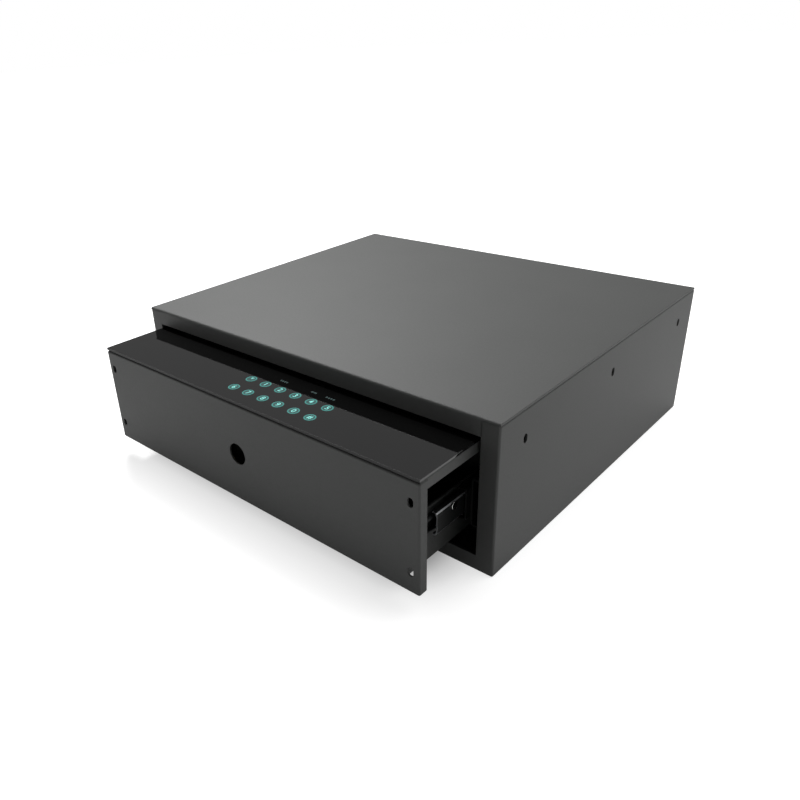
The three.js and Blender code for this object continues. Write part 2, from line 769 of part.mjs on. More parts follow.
// Key plug, turned with the bolt: a keyway in front and a square tail that reaches the bolt work
const tailHalf = tailWidth / 2;
const tailEnd = boltBack + tailProud;
function square(halfSize, from, to) {
  return block([lockX - halfSize, lockX + halfSize], [from, to], [lockZ - halfSize, lockZ + halfSize]);
}
const plugBack = cylinderBack + plugProud;
const plug = cutFrom(
  joined(
    bar('y', lockCentre, plugRadius, cylinderFront, plugBack),
    square(tailHalf, cylinderFront, tailEnd),
  ),
  block([lockX - keywayWidth / 2, lockX + keywayWidth / 2],
    [cylinderFront - cutPast, cylinderFront + keywayDepth],
    [lockZ - keywayHeight / 2, lockZ + keywayHeight / 2]),
);
drawer.add(piece('key_plug', plug, 'brass'));

// Cam on the tail: its finger lies on the lug of the lowered bolt, which it has turned down from upright
const camY = [boltY - camThickness / 2, boltY + camThickness / 2];
const cam = cutFrom(
  joined(
    bar('y', lockCentre, camHubRadius, ...camY),
    block([lockX, lockX + camLength], camY, [lockZ - camWidth / 2, lockZ + camWidth / 2]),
  ),
  square(tailHalf + plugGap, ...widened(camY, cutPast)),
);
drawer.add(piece('release_cam', cam, 'zinc'));

// Lock case: a shallow box on the bulkhead, open to the front, slotted above and below for the bolt
const caseX = [caseCentreX - caseWidth / 2, caseCentreX + caseWidth / 2];
const lockCase = cutFrom(
  block(caseX, [caseFront, caseBack], [caseBottom, caseTop]),
  block(widened(caseX, -caseWall), [caseFront - cutPast, caseBack - caseWall],
    [caseBottom + caseWall, caseTop - caseWall]),
  block(boltSpaceX, boltSpaceY, [caseTop - caseWall - cutPast, caseTop + cutPast]),
);
drawer.add(piece('lock_case', lockCase, 'greyPlastic'));

const throughCover = [coverFront - cutPast, caseFront + cutPast];
const pinionCentre = [pinionX, 0, pinionHeight];
const lockCaseCover = cutFrom(
  block(caseX, [coverFront, caseFront], [caseBottom, caseTop]),
  bar('y', lockCentre, tailHalf * Math.SQRT2 + 2 * plugGap, ...throughCover),
  bar('y', pinionCentre, motorShaftRadius + plugGap, ...throughCover, smallSides),
);
drawer.add(piece('lock_case_cover', lockCaseCover, 'greyPlastic'));

// Half thickness of a gear tooth at a height above the pitch line, for straight flanks
const flankSlope = Math.tan(pressureAngle);
const toothHalf = (rackPitch / 2 - gearBacklash) / 2;

// Bolt: a bar with a rack on its right side and a lug for the cam on its left
function bolt() {
  const body = block([boltX - boltWidth / 2, rackFace], [boltFront, boltBack], [boltBottom, boltTop]);
  const pitchLine = rackFace + toothRoot;
  const middle = pinionHeight - boltThrow / 2;
  const teeth = [];
  for (let i = 0; i < rackTeeth; i += 1) {
    const steps = i - (rackTeeth - 1) / 2;
    const z = pinionHeight + Math.round((middle - pinionHeight) / rackPitch + steps) * rackPitch;
    const root = toothHalf + toothRoot * flankSlope;
    const tip = toothHalf - toothTip * flankSlope;
    const outline = polygon([
      [rackFace - rackOverlap, z - root],
      [rackFace, z - root],
      [pitchLine + toothTip, z - tip],
      [pitchLine + toothTip, z + tip],
      [rackFace, z + root],
      [rackFace - rackOverlap, z + root],
    ]);
    teeth.push(prism('y', outline, boltFront, boltBack));
  }
  const lug = block([boltX - boltWidth / 2 - lugLength, boltX], camY, [boltBottom, boltBottom + lugHeight]);
  return joined(body, ...teeth, lug);
}
drawer.add(piece('lock_bolt', bolt(), 'hardSteel'));

// Pinion: involute teeth, with a gap facing the rack
function pinion() {
  const baseRadius = pitchRadius * Math.cos(pressureAngle);
  const involute = (radius) => {
    const lean = Math.acos(Math.min(baseRadius / radius, 1));
    return Math.tan(lean) - lean;
  };
  const halfAngle = (radius) => toothHalf / pitchRadius + involute(pitchRadius) - involute(radius);
  const radii = [pitchRadius - toothRoot, baseRadius, pitchRadius, pitchRadius + toothTip];
  const points = [];
  for (let tooth = 0; tooth < pinionTeeth; tooth += 1) {
    const middle = Math.PI + (tooth + 0.5) * 2 * Math.PI / pinionTeeth;
    const flank = (radius, side) => {
      const angle = middle + side * halfAngle(Math.max(radius, baseRadius));
      points.push([pinionX + radius * Math.cos(angle), pinionHeight + radius * Math.sin(angle)]);
    };
    radii.forEach((radius) => flank(radius, -1));
    [...radii].reverse().forEach((radius) => flank(radius, 1));
  }
  const wheel = prism('y', polygon(points), boltY - pinionWidth / 2, boltY + pinionWidth / 2);
  return cutFrom(wheel, bar('y', pinionCentre, motorShaftRadius + plugGap,
    boltY - pinionWidth, boltY + pinionWidth, smallSides));
}
drawer.add(piece('drive_pinion', pinion(), 'brass'));

// Gear motor in front of the case, its shaft reaching through the cover into the pinion
const motor = joined(
  block([pinionX - motorWidth / 2, pinionX + motorWidth / 2], [coverFront - motorLength, coverFront],
    [pinionHeight - motorHeight / 2, pinionHeight + motorHeight / 2]),
  bar('y', pinionCentre, motorShaftRadius, coverFront - motorLength, boltY + pinionWidth / 2, smallSides),
);
drawer.add(piece('lock_motor', motor, 'hardSteel'));

// Battery holder on the tray floor, with its cells lying across it
function batteryHolder() {
  const x = [holderX - holderWidth / 2, holderX + holderWidth / 2];
  const outer = block(x, [holderFront, holderBack], [trayFloor, trayFloor + holderHeight]);
  const inside = block(widened(x, -holderWall), [holderFront + holderWall, holderBack - holderWall],
    [trayFloor + holderWall, trayFloor + holderHeight + cutPast]);
  return cutFrom(outer, inside);
}
drawer.add(piece('battery_holder', batteryHolder(), 'blackPlastic'));
for (let i = 0; i < cellCount; i += 1) {
  const y = holderFront + holderWall + (i + 0.5) * cellPitch;
  const centre = [0, y, trayFloor + holderWall + cellGap + cellRadius];
  const [start, end] = [holderX - cellLength / 2, holderX + cellLength / 2];
  const can = bar('x', centre, cellRadius, start, end - cellTip, smallSides);
  const tip = bar('x', centre, cellTipRadius, start, end, smallSides);
  drawer.add(piece(`battery_${i + 1}`, can.add(tip), 'cellLabel'));
}

// Battery cover on the storage side of the bulkhead, held by one screw
function batteryCover() {
  const y = [controlBack, controlBack + batteryCoverThickness];
  const bottom = trayFloor + batteryCoverLift;
  const plate = block([holderX - coverReach, coverScrewX + screwHeadRadius + batteryCoverEdge], y,
    [bottom, bottom + batteryCoverHeight]);
  return cutFrom(plate, screwHole('y', [coverScrewX, 0, coverScrewZ], ...widened(y, cutPast)));
}
drawer.add(piece('battery_cover', batteryCover(), 'blackPlastic'));
drawer.add(piece('battery_cover_screw',
  panHeadScrew([coverScrewX, coverScrewZ], controlBack + batteryCoverThickness), 'zinc'));

// Foam mat on the floor of the storage space
const matHalf = trayHalf - traySheet - matGap;
drawer.add(piece('liner_mat', block([-matHalf, matHalf],
  [controlBack + batteryCoverThickness + matGap, trayEnd - traySheet - matGap],
  [trayFloor, trayFloor + matThickness]), 'foam'));

export default safe;
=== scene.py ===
import math

import bmesh
import bpy
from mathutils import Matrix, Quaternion, Vector


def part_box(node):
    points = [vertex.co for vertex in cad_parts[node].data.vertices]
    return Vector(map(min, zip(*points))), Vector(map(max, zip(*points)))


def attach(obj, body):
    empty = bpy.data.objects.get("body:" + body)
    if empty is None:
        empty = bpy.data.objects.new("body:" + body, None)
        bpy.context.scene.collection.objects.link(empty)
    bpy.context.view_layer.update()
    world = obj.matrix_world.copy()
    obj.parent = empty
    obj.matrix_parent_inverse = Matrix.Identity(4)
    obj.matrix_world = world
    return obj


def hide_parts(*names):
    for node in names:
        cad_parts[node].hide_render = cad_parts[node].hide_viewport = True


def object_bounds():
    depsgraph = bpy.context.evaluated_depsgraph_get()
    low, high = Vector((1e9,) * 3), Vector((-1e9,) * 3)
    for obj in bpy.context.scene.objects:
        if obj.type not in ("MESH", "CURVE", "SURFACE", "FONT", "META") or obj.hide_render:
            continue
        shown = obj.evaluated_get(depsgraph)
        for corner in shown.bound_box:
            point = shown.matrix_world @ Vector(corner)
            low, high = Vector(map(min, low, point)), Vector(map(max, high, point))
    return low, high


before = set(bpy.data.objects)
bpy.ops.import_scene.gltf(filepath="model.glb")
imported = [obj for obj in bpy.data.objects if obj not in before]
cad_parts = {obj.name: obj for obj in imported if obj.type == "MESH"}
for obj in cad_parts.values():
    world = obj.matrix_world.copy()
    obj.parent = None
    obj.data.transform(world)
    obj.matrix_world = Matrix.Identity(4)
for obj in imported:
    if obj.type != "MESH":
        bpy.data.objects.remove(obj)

cad_low, cad_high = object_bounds()
mm = 0.001

# Camera
# A normal lens above the drawer's front right corner, turned a little, as the photograph was taken.
# The picture's middle is off the lens axis because the photograph was cropped.
view_azimuth = math.radians(44.515)
view_elevation = math.radians(26.8)
view_roll = math.radians(3.298)
camera_place = (0.41549, -0.54595, 0.3618)
lens_length = 32.859
film_width = 36
crop_shift = (0.0821, 0.00435)
far_end = 100
toward_camera = Vector((
    math.sin(view_azimuth) * math.cos(view_elevation),
    -math.cos(view_azimuth) * math.cos(view_elevation),
    math.sin(view_elevation),
))
bpy.ops.object.camera_add(location=camera_place)
camera = bpy.context.object
camera.rotation_mode = "QUATERNION"
camera.rotation_quaternion = (
    (-toward_camera).to_track_quat("-Z", "Y") @ Quaternion((0, 0, 1), -view_roll)
)
camera.data.lens = lens_length
camera.data.sensor_width = film_width
camera.data.shift_x, camera.data.shift_y = crop_shift
camera.data.clip_end = far_end
bpy.context.scene.camera = camera
bpy.context.scene.view_settings.view_transform = "Standard"


# Studio
# White paper under a plain ceiling and three soft boxes behind the safe, out of the lid's mirror. The paper
# is pure white away from the safe and keeps its shadow. Near the safe its glow is also painted darker, a
# painted shadow over the real one, and a camera sees plain white above it.
def linear(hex_colour):
    """A colour written as sRGB hex, as linear red, green, blue and alpha."""
    parts = [int(hex_colour[i:i + 2], 16) / 255 for i in (1, 3, 5)]
    return [c / 12.92 if c <= 0.04045 else ((c + 0.055) / 1.055) ** 2.4 for c in parts] + [1]


def set_inputs(tree, node, **inputs):
    """Gives named or numbered inputs of a node their values or links."""
    for name, value in inputs.items():
        socket = node.inputs[int(name[1:])] if name[1:].isdigit() else node.inputs[name.replace("_", " ")]
        if isinstance(value, bpy.types.NodeSocket):
            tree.links.new(value, socket)
        else:
            socket.default_value = value


def add_node(tree, kind, settings=None, **inputs):
    """A node with its settings and its inputs."""
    node = tree.nodes.new(kind)
    for name, value in (settings or {}).items():
        setattr(node, name, value)
    set_inputs(tree, node, **inputs)
    return node


def tinted(tree, share, light, dark):
    """The colour that a share mixes from two colours."""
    mix = add_node(tree, "ShaderNodeMix", {"data_type": "RGBA"}, Factor=share, i6=linear(light),
                   i7=linear(dark))
    return mix.outputs[2]


def between(tree, share, low, high):
    """The number that a share picks between two numbers."""
    return add_node(tree, "ShaderNodeMapRange", Value=share, To_Min=low, To_Max=high).outputs["Result"]


def reckon(tree, operation, first, second=0.0):
    """What a Math node makes of two numbers."""
    return add_node(tree, "ShaderNodeMath", {"operation": operation}, i0=first, i1=second).outputs[0]


def reckon_places(tree, operation, first, second=(0, 0, 0)):
    """What a Vector Math node makes of two vectors: a vector, or a number for a length or a dot product."""
    node = add_node(tree, "ShaderNodeVectorMath", {"operation": operation}, i0=first, i1=second)
    return node.outputs["Value" if operation in ("LENGTH", "DOT_PRODUCT") else "Vector"]


def new_material(name):
    """A material with its tree and its shader."""
    material = bpy.data.materials.new(name)
    material.use_nodes = True
    return material, material.node_tree, material.node_tree.nodes["Principled BSDF"]


def fill_ramp(ramp, levels):
    """Gives a colour ramp its stops, each a place from 0 to 1 and a colour."""
    while len(ramp.elements) > 1:
        ramp.elements.remove(ramp.elements[0])
    ramp.elements[0].position = levels[0][0]
    ramp.elements[0].color = linear(levels[0][1])
    for place, colour in levels[1:]:
        ramp.elements.new(place).color = linear(colour)


room_greys = [(0.17, "#ffffff"), (0.29, "#868686"), (0.45, "#a6a6a6"), (0.60, "#bcbcbc"), (0.80, "#b4b4b4"),
              (1.00, "#a8a8a8")]
wall_top = 0.17
ceiling_start = 0.32
ceiling_dimming = 0.85
camera_side_start = -0.1
camera_side_end = 0.8
world = bpy.data.worlds.new("studio")
world.use_nodes = True
bpy.context.scene.world = world
tree = world.node_tree
direction = add_node(tree, "ShaderNodeTexCoord").outputs["Generated"]
rise = add_node(tree, "ShaderNodeSeparateXYZ", Vector=direction).outputs["Z"]
room = add_node(tree, "ShaderNodeValToRGB", Fac=rise)
fill_ramp(room.color_ramp, room_greys)
near = add_node(tree, "ShaderNodeMapRange", From_Min=camera_side_start, From_Max=camera_side_end,
                Value=reckon_places(tree, "DOT_PRODUCT", direction, toward_camera))
ceiling = add_node(tree, "ShaderNodeMapRange", Value=rise, From_Min=wall_top, From_Max=ceiling_start,
                   To_Max=ceiling_dimming)
dimming = reckon(tree, "MULTIPLY", ceiling.outputs["Result"], near.outputs["Result"])
lit_room = tree.nodes["Background"]
set_inputs(tree, lit_room, Color=room.outputs["Color"], Strength=reckon(tree, "SUBTRACT", 1.0, dimming))
rays = add_node(tree, "ShaderNodeLightPath").outputs
plain_white = add_node(tree, "ShaderNodeBackground", Color=linear("#ffffff"))
shown = add_node(tree, "ShaderNodeMixShader", i1=lit_room.outputs[0], i2=plain_white.outputs[0],
                 Fac=reckon(tree, "MAXIMUM", rays["Is Camera Ray"], rays["Is Transmission Ray"]))
set_inputs(tree, tree.nodes["World Output"], Surface=shown.outputs[0])

lamp_aim = Vector((0, 0, 0.05))


def soft_box(name, place, size, power):
    """A square area lamp at a place, turned to the safe."""
    bpy.ops.object.light_add(type="AREA", location=place)
    lamp = bpy.context.object
    lamp.name = name
    lamp.data.size = size
    lamp.data.energy = power
    lamp.rotation_mode = "QUATERNION"
    lamp.rotation_quaternion = (lamp_aim - Vector(place)).to_track_quat("-Z", "Y")


soft_box("left_soft_box", (-0.8, 0.38, 1.2), 0.55, 18)
soft_box("high_left_soft_box", (-0.5, 0.35, 1.3), 0.8, 8)
soft_box("high_right_soft_box", (0.85, 0.5, 1.4), 1.1, 9)

# The paper's glow, as greys over the distance in metres from a line a little inside the safe's outline: a
# painted shadow, darkest by the safe and white far off. What is mirrored of it is painted darker towards and
# under the drawer, painted shade where the drawer keeps the light off.
paper_size = 30
paper_white = "#b4b4b4"
paper_reach = 4.0
paper_glow_and_painted_shadow = [(0.0, "#181818"), (0.03, "#bcbcbc"), (0.05, "#dedede"), (0.10, "#f8f8f8"), (0.40, "#fafafa"),
              (1.00, "#fafafa"), (paper_reach, "#ffffff")]
shade_inset = 50 * mm
right_inset = 16 * mm
drawer_inset = 5 * mm
drawer_right_inset = 15 * mm
drawer_shade = 60 * mm
bpy.ops.mesh.primitive_plane_add(size=paper_size)
floor = bpy.context.object
floor.name = "paper_floor"
paper, tree, shader = new_material("white_paper_and_painted_shadow")
tree.nodes.remove(shader)
paper_place = add_node(tree, "ShaderNodeTexCoord").outputs["Object"]


def way_out(low, high, inset):
    """How far a place on the paper is from a box's plan, drawn in by an inset."""
    away = reckon_places(tree, "SUBTRACT", paper_place, ((low.x + high.x) / 2, (low.y + high.y) / 2, 0))
    away = reckon_places(tree, "ABSOLUTE", away)
    half = ((high.x - low.x) / 2 - inset, (high.y - low.y) / 2 - inset, 0)
    away = reckon_places(tree, "SUBTRACT", away, half)
    return reckon_places(tree, "LENGTH", reckon_places(tree, "MAXIMUM", away))


# Painted shadow: the glow's ramp darkens towards the safe. Its right side is drawn in so that the shadow lies
# to the left.
away = way_out(cad_low, cad_high - Vector((right_inset, 0, 0)), shade_inset)
level = add_node(tree, "ShaderNodeValToRGB", Fac=reckon(tree, "DIVIDE", away, paper_reach))
fill_ramp(level.color_ramp, [(distance / paper_reach, grey) for distance, grey in paper_glow_and_painted_shadow])
drawer_low, drawer_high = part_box("front_plate")
drawer_high = Vector((drawer_high.x - drawer_right_inset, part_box("housing_body")[0].y, 0))
# Painted shade: mirrored glow fades to nothing under and near the drawer.
clear = add_node(tree, "ShaderNodeMapRange", Value=way_out(drawer_low, drawer_high, drawer_inset),
                 From_Max=drawer_shade)
rays = add_node(tree, "ShaderNodeLightPath").outputs
mirrored = reckon(tree, "MULTIPLY", rays["Is Glossy Ray"], clear.outputs["Result"])
seen = reckon(tree, "MAXIMUM", rays["Is Camera Ray"], rays["Is Transmission Ray"])
glow = add_node(tree, "ShaderNodeEmission", Color=level.outputs["Color"],
                Strength=reckon(tree, "MAXIMUM", seen, mirrored))
matte = add_node(tree, "ShaderNodeBsdfDiffuse", Color=linear(paper_white))
both = add_node(tree, "ShaderNodeAddShader", i0=matte.outputs[0], i1=glow.outputs[0])
set_inputs(tree, tree.nodes["Material Output"], Surface=both.outputs[0])
floor.data.materials.append(paper)

# Housing
# The outer case: sheet steel, its bottom, sides and front frame bent from one blank and powder coated.
# The top edges are folded in under the cover, and a welded frame behind takes the back panel's screws.
sides = (("left", -1), ("right", 1))

# A direction counts as along an axis from facing on and as across it up to crosswise. Places within a hair
# of each other count as one.
facing = 0.9
crosswise = 0.1
hair = mm / 10


def deselect_everything():
    """Leaves edit mode and selects nothing, so that the next operator meets only what it should."""
    if bpy.context.mode != "OBJECT":
        bpy.ops.object.mode_set(mode="OBJECT")
    bpy.ops.object.select_all(action="DESELECT")


def take(*pieces):
    """Selects these pieces alone, the first one active."""
    deselect_everything()
    for piece in pieces:
        piece.select_set(True)
    bpy.context.view_layer.objects.active = pieces[0]


def apply_place(piece, name):
    """Puts the piece's place, turn and size into its mesh."""
    take(piece)
    bpy.ops.object.transform_apply(location=True, rotation=True, scale=True)
    piece.name = name
    piece.data.name = name
    return piece


def start_block(name, corner, opposite):
    """A block between two opposite corners."""
    deselect_everything()
    bpy.ops.mesh.primitive_cube_add(size=1, location=[(a + b) / 2 for a, b in zip(corner, opposite)])
    bpy.context.object.scale = [abs(b - a) for a, b in zip(corner, opposite)]
    return apply_place(bpy.context.object, name)


turns = {"x": (0, math.pi / 2, 0), "y": (math.pi / 2, 0, 0), "z": (0, 0, 0)}


def start_bar(name, axis, corner, opposite, rim=48):
    """A round bar along an axis that fills the space between two opposite corners."""
    deselect_everything()
    sizes = [abs(b - a) for a, b in zip(corner, opposite)]
    length = sizes["xyz".index(axis)]
    radius = (sum(sizes) - length) / 4
    bpy.ops.mesh.primitive_cylinder_add(vertices=rim, radius=radius, depth=length, rotation=turns[axis],
                                        location=[(a + b) / 2 for a, b in zip(corner, opposite)])
    return apply_place(bpy.context.object, name)


def corners_about(axis, middle, halves, ends):
    """Opposite corners of a box about a line along an axis: half its other two widths, and its two ends."""
    along = "xyz".index(axis)
    halves = list(halves)
    halves.insert(along, 0)
    corners = [[c + sign * half for c, half in zip(middle, halves)] for sign in (-1, 1)]
    corners[0][along], corners[1][along] = ends
    return corners


def bar_about(name, axis, middle, radius, ends, rim=48):
    """A round bar about a line along an axis, from one end to the other."""
    return start_bar(name, axis, *corners_about(axis, middle, (radius, radius), ends), rim)


def block_about(name, axis, middle, halves, ends):
    """A block about a line along an axis, from one end to the other."""
    return start_block(name, *corners_about(axis, middle, halves, ends))


def open_up(piece, kind="FACE"):
    """Edit mode on the piece with nothing selected; picks are of faces, edges or points."""
    take(piece)
    bpy.ops.object.mode_set(mode="EDIT")
    bpy.ops.mesh.select_mode(type=kind)
    bpy.ops.mesh.select_all(action="DESELECT")


def close_up():
    bpy.ops.object.mode_set(mode="OBJECT")


def pick(piece, kind, wanted):
    """Selects the faces, edges or points that a test wants."""
    bpy.ops.mesh.select_mode(type=kind)
    bpy.ops.mesh.select_all(action="DESELECT")
    mesh = bmesh.from_edit_mesh(piece.data)
    for part in {"FACE": mesh.faces, "EDGE": mesh.edges, "VERT": mesh.verts}[kind]:
        part.select_set(bool(wanted(part)))
    bmesh.update_edit_mesh(piece.data)


def pick_faces(piece, wanted):
    """Selects the faces that a test of their middle and normal wants."""
    pick(piece, "FACE", lambda face: wanted(face.calc_center_median(), face.normal))


def pick_edges(piece, wanted):
    """Selects the edges that a test of their middle and direction wants."""
    def test(edge):
        start, end = (v.co for v in edge.verts)
        return wanted((start + end) / 2, (end - start).normalized())
    pick(piece, "EDGE", test)


def start_skin(name, low, high, left_open):
    """Edit mode on a block's skin, without the faces that a test leaves open."""
    skin = start_block(name, low, high)
    open_up(skin)
    pick_faces(skin, left_open)
    bpy.ops.mesh.delete(type="ONLY_FACE")
    return skin


def bend_edges(piece, radius, segments, wanted):
    """Rounds the edges that a test wants, as the bends of a sheet."""
    pick_edges(piece, wanted)
    bpy.ops.mesh.bevel(offset=radius, segments=segments, affect="EDGES")


def fold(*moves):
    """Extrudes the selected edges or faces by one move after another, as sheet is folded."""
    for move in moves:
        bpy.ops.mesh.extrude_region_move(TRANSFORM_OT_translate={"value": move})


def face_outwards():
    bpy.ops.mesh.select_all(action="SELECT")
    bpy.ops.mesh.normals_make_consistent(inside=False)


def use_modifier(piece, kind, **settings):
    """Adds a modifier, sets it and applies it."""
    take(piece)
    modifier = piece.modifiers.new(kind.lower(), kind)
    for name, value in settings.items():
        setattr(modifier, name, value)
    bpy.ops.object.modifier_apply(modifier=modifier.name)


def thicken(piece, sheet, offset=-1):
    """Closes edit mode and gives a skin its sheet's thickness, inwards or, with no offset, both ways."""
    close_up()
    use_modifier(piece, "SOLIDIFY", thickness=sheet, offset=offset, use_even_offset=True)


def cut_out(piece, *cutters):
    """Cuts the cutters, which reach past the piece, out of it one by one, and removes them."""
    for cutter in cutters:
        use_modifier(piece, "BOOLEAN", operation="DIFFERENCE", solver="EXACT", object=cutter)
        bpy.data.objects.remove(cutter)


def join_to(piece, *others):
    """Makes several meshes one piece."""
    take(piece, *others)
    bpy.ops.object.join()
    return piece


def slot_cutter(axis, centre, width, height, reach):
    """A cutter for an upright slot with round ends."""
    along = centre["xyz".index(axis)]
    cutter = bar_about("slot_cutter", axis, centre, width / 2, (along - reach, along + reach), 32)
    for sign in (1, -1):
        open_up(cutter)
        pick(cutter, "VERT", lambda point: sign * (point.co.z - centre[2]) > hair / 100)
        bpy.ops.transform.translate(value=(0, 0, sign * (height - width) / 2))
        close_up()
    return cutter


def round_edges(piece, width, segments=2, angle=40):
    """Breaks the sharp edges, then shades the piece so that its flats stay flat."""
    use_modifier(piece, "BEVEL", width=width, segments=segments, limit_method="ANGLE",
                 angle_limit=math.radians(angle), use_clamp_overlap=True)
    take(piece)
    bpy.ops.object.shade_smooth_by_angle(angle=math.radians(angle))
    use_modifier(piece, "WEIGHTED_NORMAL", keep_sharp=True)


def fit(piece, material, body, slot, *nodes):
    """Gives the piece its finish, the body it rides on and the CAD nodes that it stands for."""
    piece.data.materials.clear()
    piece.data.materials.append(material)
    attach(piece, body)
    if nodes:
        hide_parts(*nodes)
    return piece


# Powder coated steel: a polyester powder baked on, satin black, with a faint orange peel and a slight
# unevenness. It gives the eye a soft, even grey sheen under a soft box, and light bend lines.
coat_grey = "#393a39"
coat_shade = "#333433"
coat_peel = 1.4 * mm
coat_peel_depth = 0.03 * mm
coat_unevenness = 70 * mm
powder_coat, tree, shader = new_material("powder_coated_steel")
place = add_node(tree, "ShaderNodeTexCoord").outputs["Object"]
patches = add_node(tree, "ShaderNodeTexNoise", Vector=place, Scale=1 / coat_unevenness, Detail=3.0)
peel = add_node(tree, "ShaderNodeTexNoise", Vector=place, Scale=1 / coat_peel, Detail=2.0).outputs["Fac"]
bump = add_node(tree, "ShaderNodeBump", Height=peel, Strength=0.25, Distance=coat_peel_depth)
set_inputs(tree, shader, Base_Color=tinted(tree, patches.outputs["Fac"], coat_grey, coat_shade),
           Roughness=between(tree, peel, 0.54, 0.64), Normal=bump.outputs["Normal"], IOR=1.5,
           Specular_IOR_Level=0.40)

body_sheet = 1.5 * mm
body_bend = 1.7 * mm
cut_edge = 0.25 * mm
frame_side = 14.7 * mm
frame_bottom = 13.7 * mm
top_flange = 12 * mm
rear_frame_width = 12 * mm
side_slot_size = (5 * mm, 7.5 * mm)
side_slot_height = 102.6 * mm
side_slot_setbacks = (34.4 * mm, 174.1 * mm, 313.8 * mm)

case_low, case_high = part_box("housing_body")
panel_low, panel_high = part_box("back_panel")
front_y = case_low.y
housing = start_skin("housing_shell", case_low, case_high,
                     lambda middle, normal: normal.z > facing or normal.y > facing)
for sign in (1, -1):
    pick_edges(housing, lambda middle, way: sign * middle.x > case_high.x - mm and abs(way.y) > facing
               and middle.z > case_high.z - mm)
    fold((-sign * top_flange, 0, 0))
face_outwards()
bend_edges(housing, body_bend, 5, lambda middle, way:
           abs(abs(middle.x) - case_high.x) < hair and abs(way.x) < crosswise
           and middle.y < case_high.y - mm or middle.z < hair and middle.y < front_y + hair)
thicken(housing, body_sheet)
cutters = [start_block("front_opening", (-case_high.x + frame_side, front_y - mm, frame_bottom),
                       (case_high.x - frame_side, front_y + 2 * body_sheet, case_high.z + mm)),
           start_block("rear_trim", (-case_high.x - mm, case_high.y, -mm),
                       (case_high.x + mm, case_high.y + mm, case_high.z + mm))]
for setback in side_slot_setbacks:
    for sign in (1, -1):
        centre = (sign * (case_high.x - body_sheet / 2), front_y + setback, side_slot_height)
        cutters.append(slot_cutter("x", centre, *side_slot_size, 2 * body_sheet))
cut_out(housing, *cutters)

rear_middle = (0, 0, case_high.z / 2)
rear_half = (case_high.x - body_sheet, case_high.z / 2 - body_sheet)
window_half = [half - rear_frame_width for half in rear_half]
rear_frame = block_about("rear_frame", "y", rear_middle, rear_half, (panel_low.y - body_sheet, panel_low.y))
cut_out(rear_frame, block_about("window", "y", rear_middle, window_half,
                                (panel_low.y - 5 * mm, panel_low.y + 5 * mm)))
join_to(housing, rear_frame)
round_edges(housing, cut_edge)
fit(housing, powder_coat, "housing", "powder_coat", "housing_body")

# Top cover
# A flat sheet laid over the housing's folded edges and welded to them from inside, its front edge bent
# down as the upper part of the front frame. A thin seam shows under its side edges.
cover_sheet = 2 * mm
cover_flange_sheet = 1.5 * mm
cover_bend = 2 * mm
cover_edge = 0.45 * mm
cover_low, cover_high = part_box("top_cover")
frame_half = case_high.x - frame_side
cover = start_block("top_cover_sheet", (cover_low.x, cover_low.y, cover_high.z - cover_sheet), cover_high)
open_up(cover)
for point, normal in (((0, cover_low.y + cover_flange_sheet, 0), (0, 1, 0)),
                      ((-frame_half, 0, 0), (1, 0, 0)), ((frame_half, 0, 0), (1, 0, 0))):
    bpy.ops.mesh.select_all(action="SELECT")
    bpy.ops.mesh.bisect(plane_co=point, plane_no=normal)
pick_faces(cover, lambda middle, normal: normal.z < -facing and abs(middle.x) < frame_half
           and middle.y < cover_low.y + cover_flange_sheet)
fold((0, 0, cover_low.z - cover_high.z + cover_sheet))
bend_edges(cover, cover_bend, 6, lambda middle, way: abs(way.x) > facing and middle.z > cover_high.z - hair
           and middle.y < cover_low.y + hair)
close_up()
round_edges(cover, cover_edge)
fit(cover, powder_coat, "housing", "powder_coat", "top_cover")

# Frame welds
# Where the cover's folded front meets the side frames, the joint is filled with weld, ground flush and
# coated over, so that the front frame looks like one sheet.
weld_depth = 1.2 * mm
weld_overlap = 0.4 * mm
weld_edge = 0.05 * mm
for side, sign in sides:
    inner = sign * (frame_half - weld_overlap)
    weld = start_block(f"frame_weld_{side}", (inner, front_y, case_high.z - weld_overlap),
                       (sign * (case_high.x - body_bend), front_y + weld_depth, case_high.z + weld_overlap))
    upright = start_block("upright", (inner, front_y, cover_low.z + mm / 2),
                          (sign * (frame_half + weld_overlap), front_y + weld_depth, case_high.z))
    join_to(weld, upright)
    round_edges(weld, weld_edge, 1)
    fit(weld, powder_coat, "housing", "powder_coat")


# Back panel
# Flat steel, let in between the sides and held to the rear frame by four screws.
def centre_of(node):
    """The middle of a CAD node's box."""
    low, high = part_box(node)
    return (low + high) / 2


screw_hole = 2.3 * mm
screw_nodes = [f"back_screw_{i}" for i in (1, 2, 3, 4)]
through_panel = (panel_low.y - mm, panel_high.y + mm)
back_panel = start_block("back_panel_sheet", panel_low, panel_high)
cut_out(back_panel, *[bar_about("hole", "y", centre_of(node), screw_hole, through_panel, 24)
                      for node in screw_nodes])
round_edges(back_panel, cut_edge)
fit(back_panel, powder_coat, "housing", "powder_coat", "back_panel")


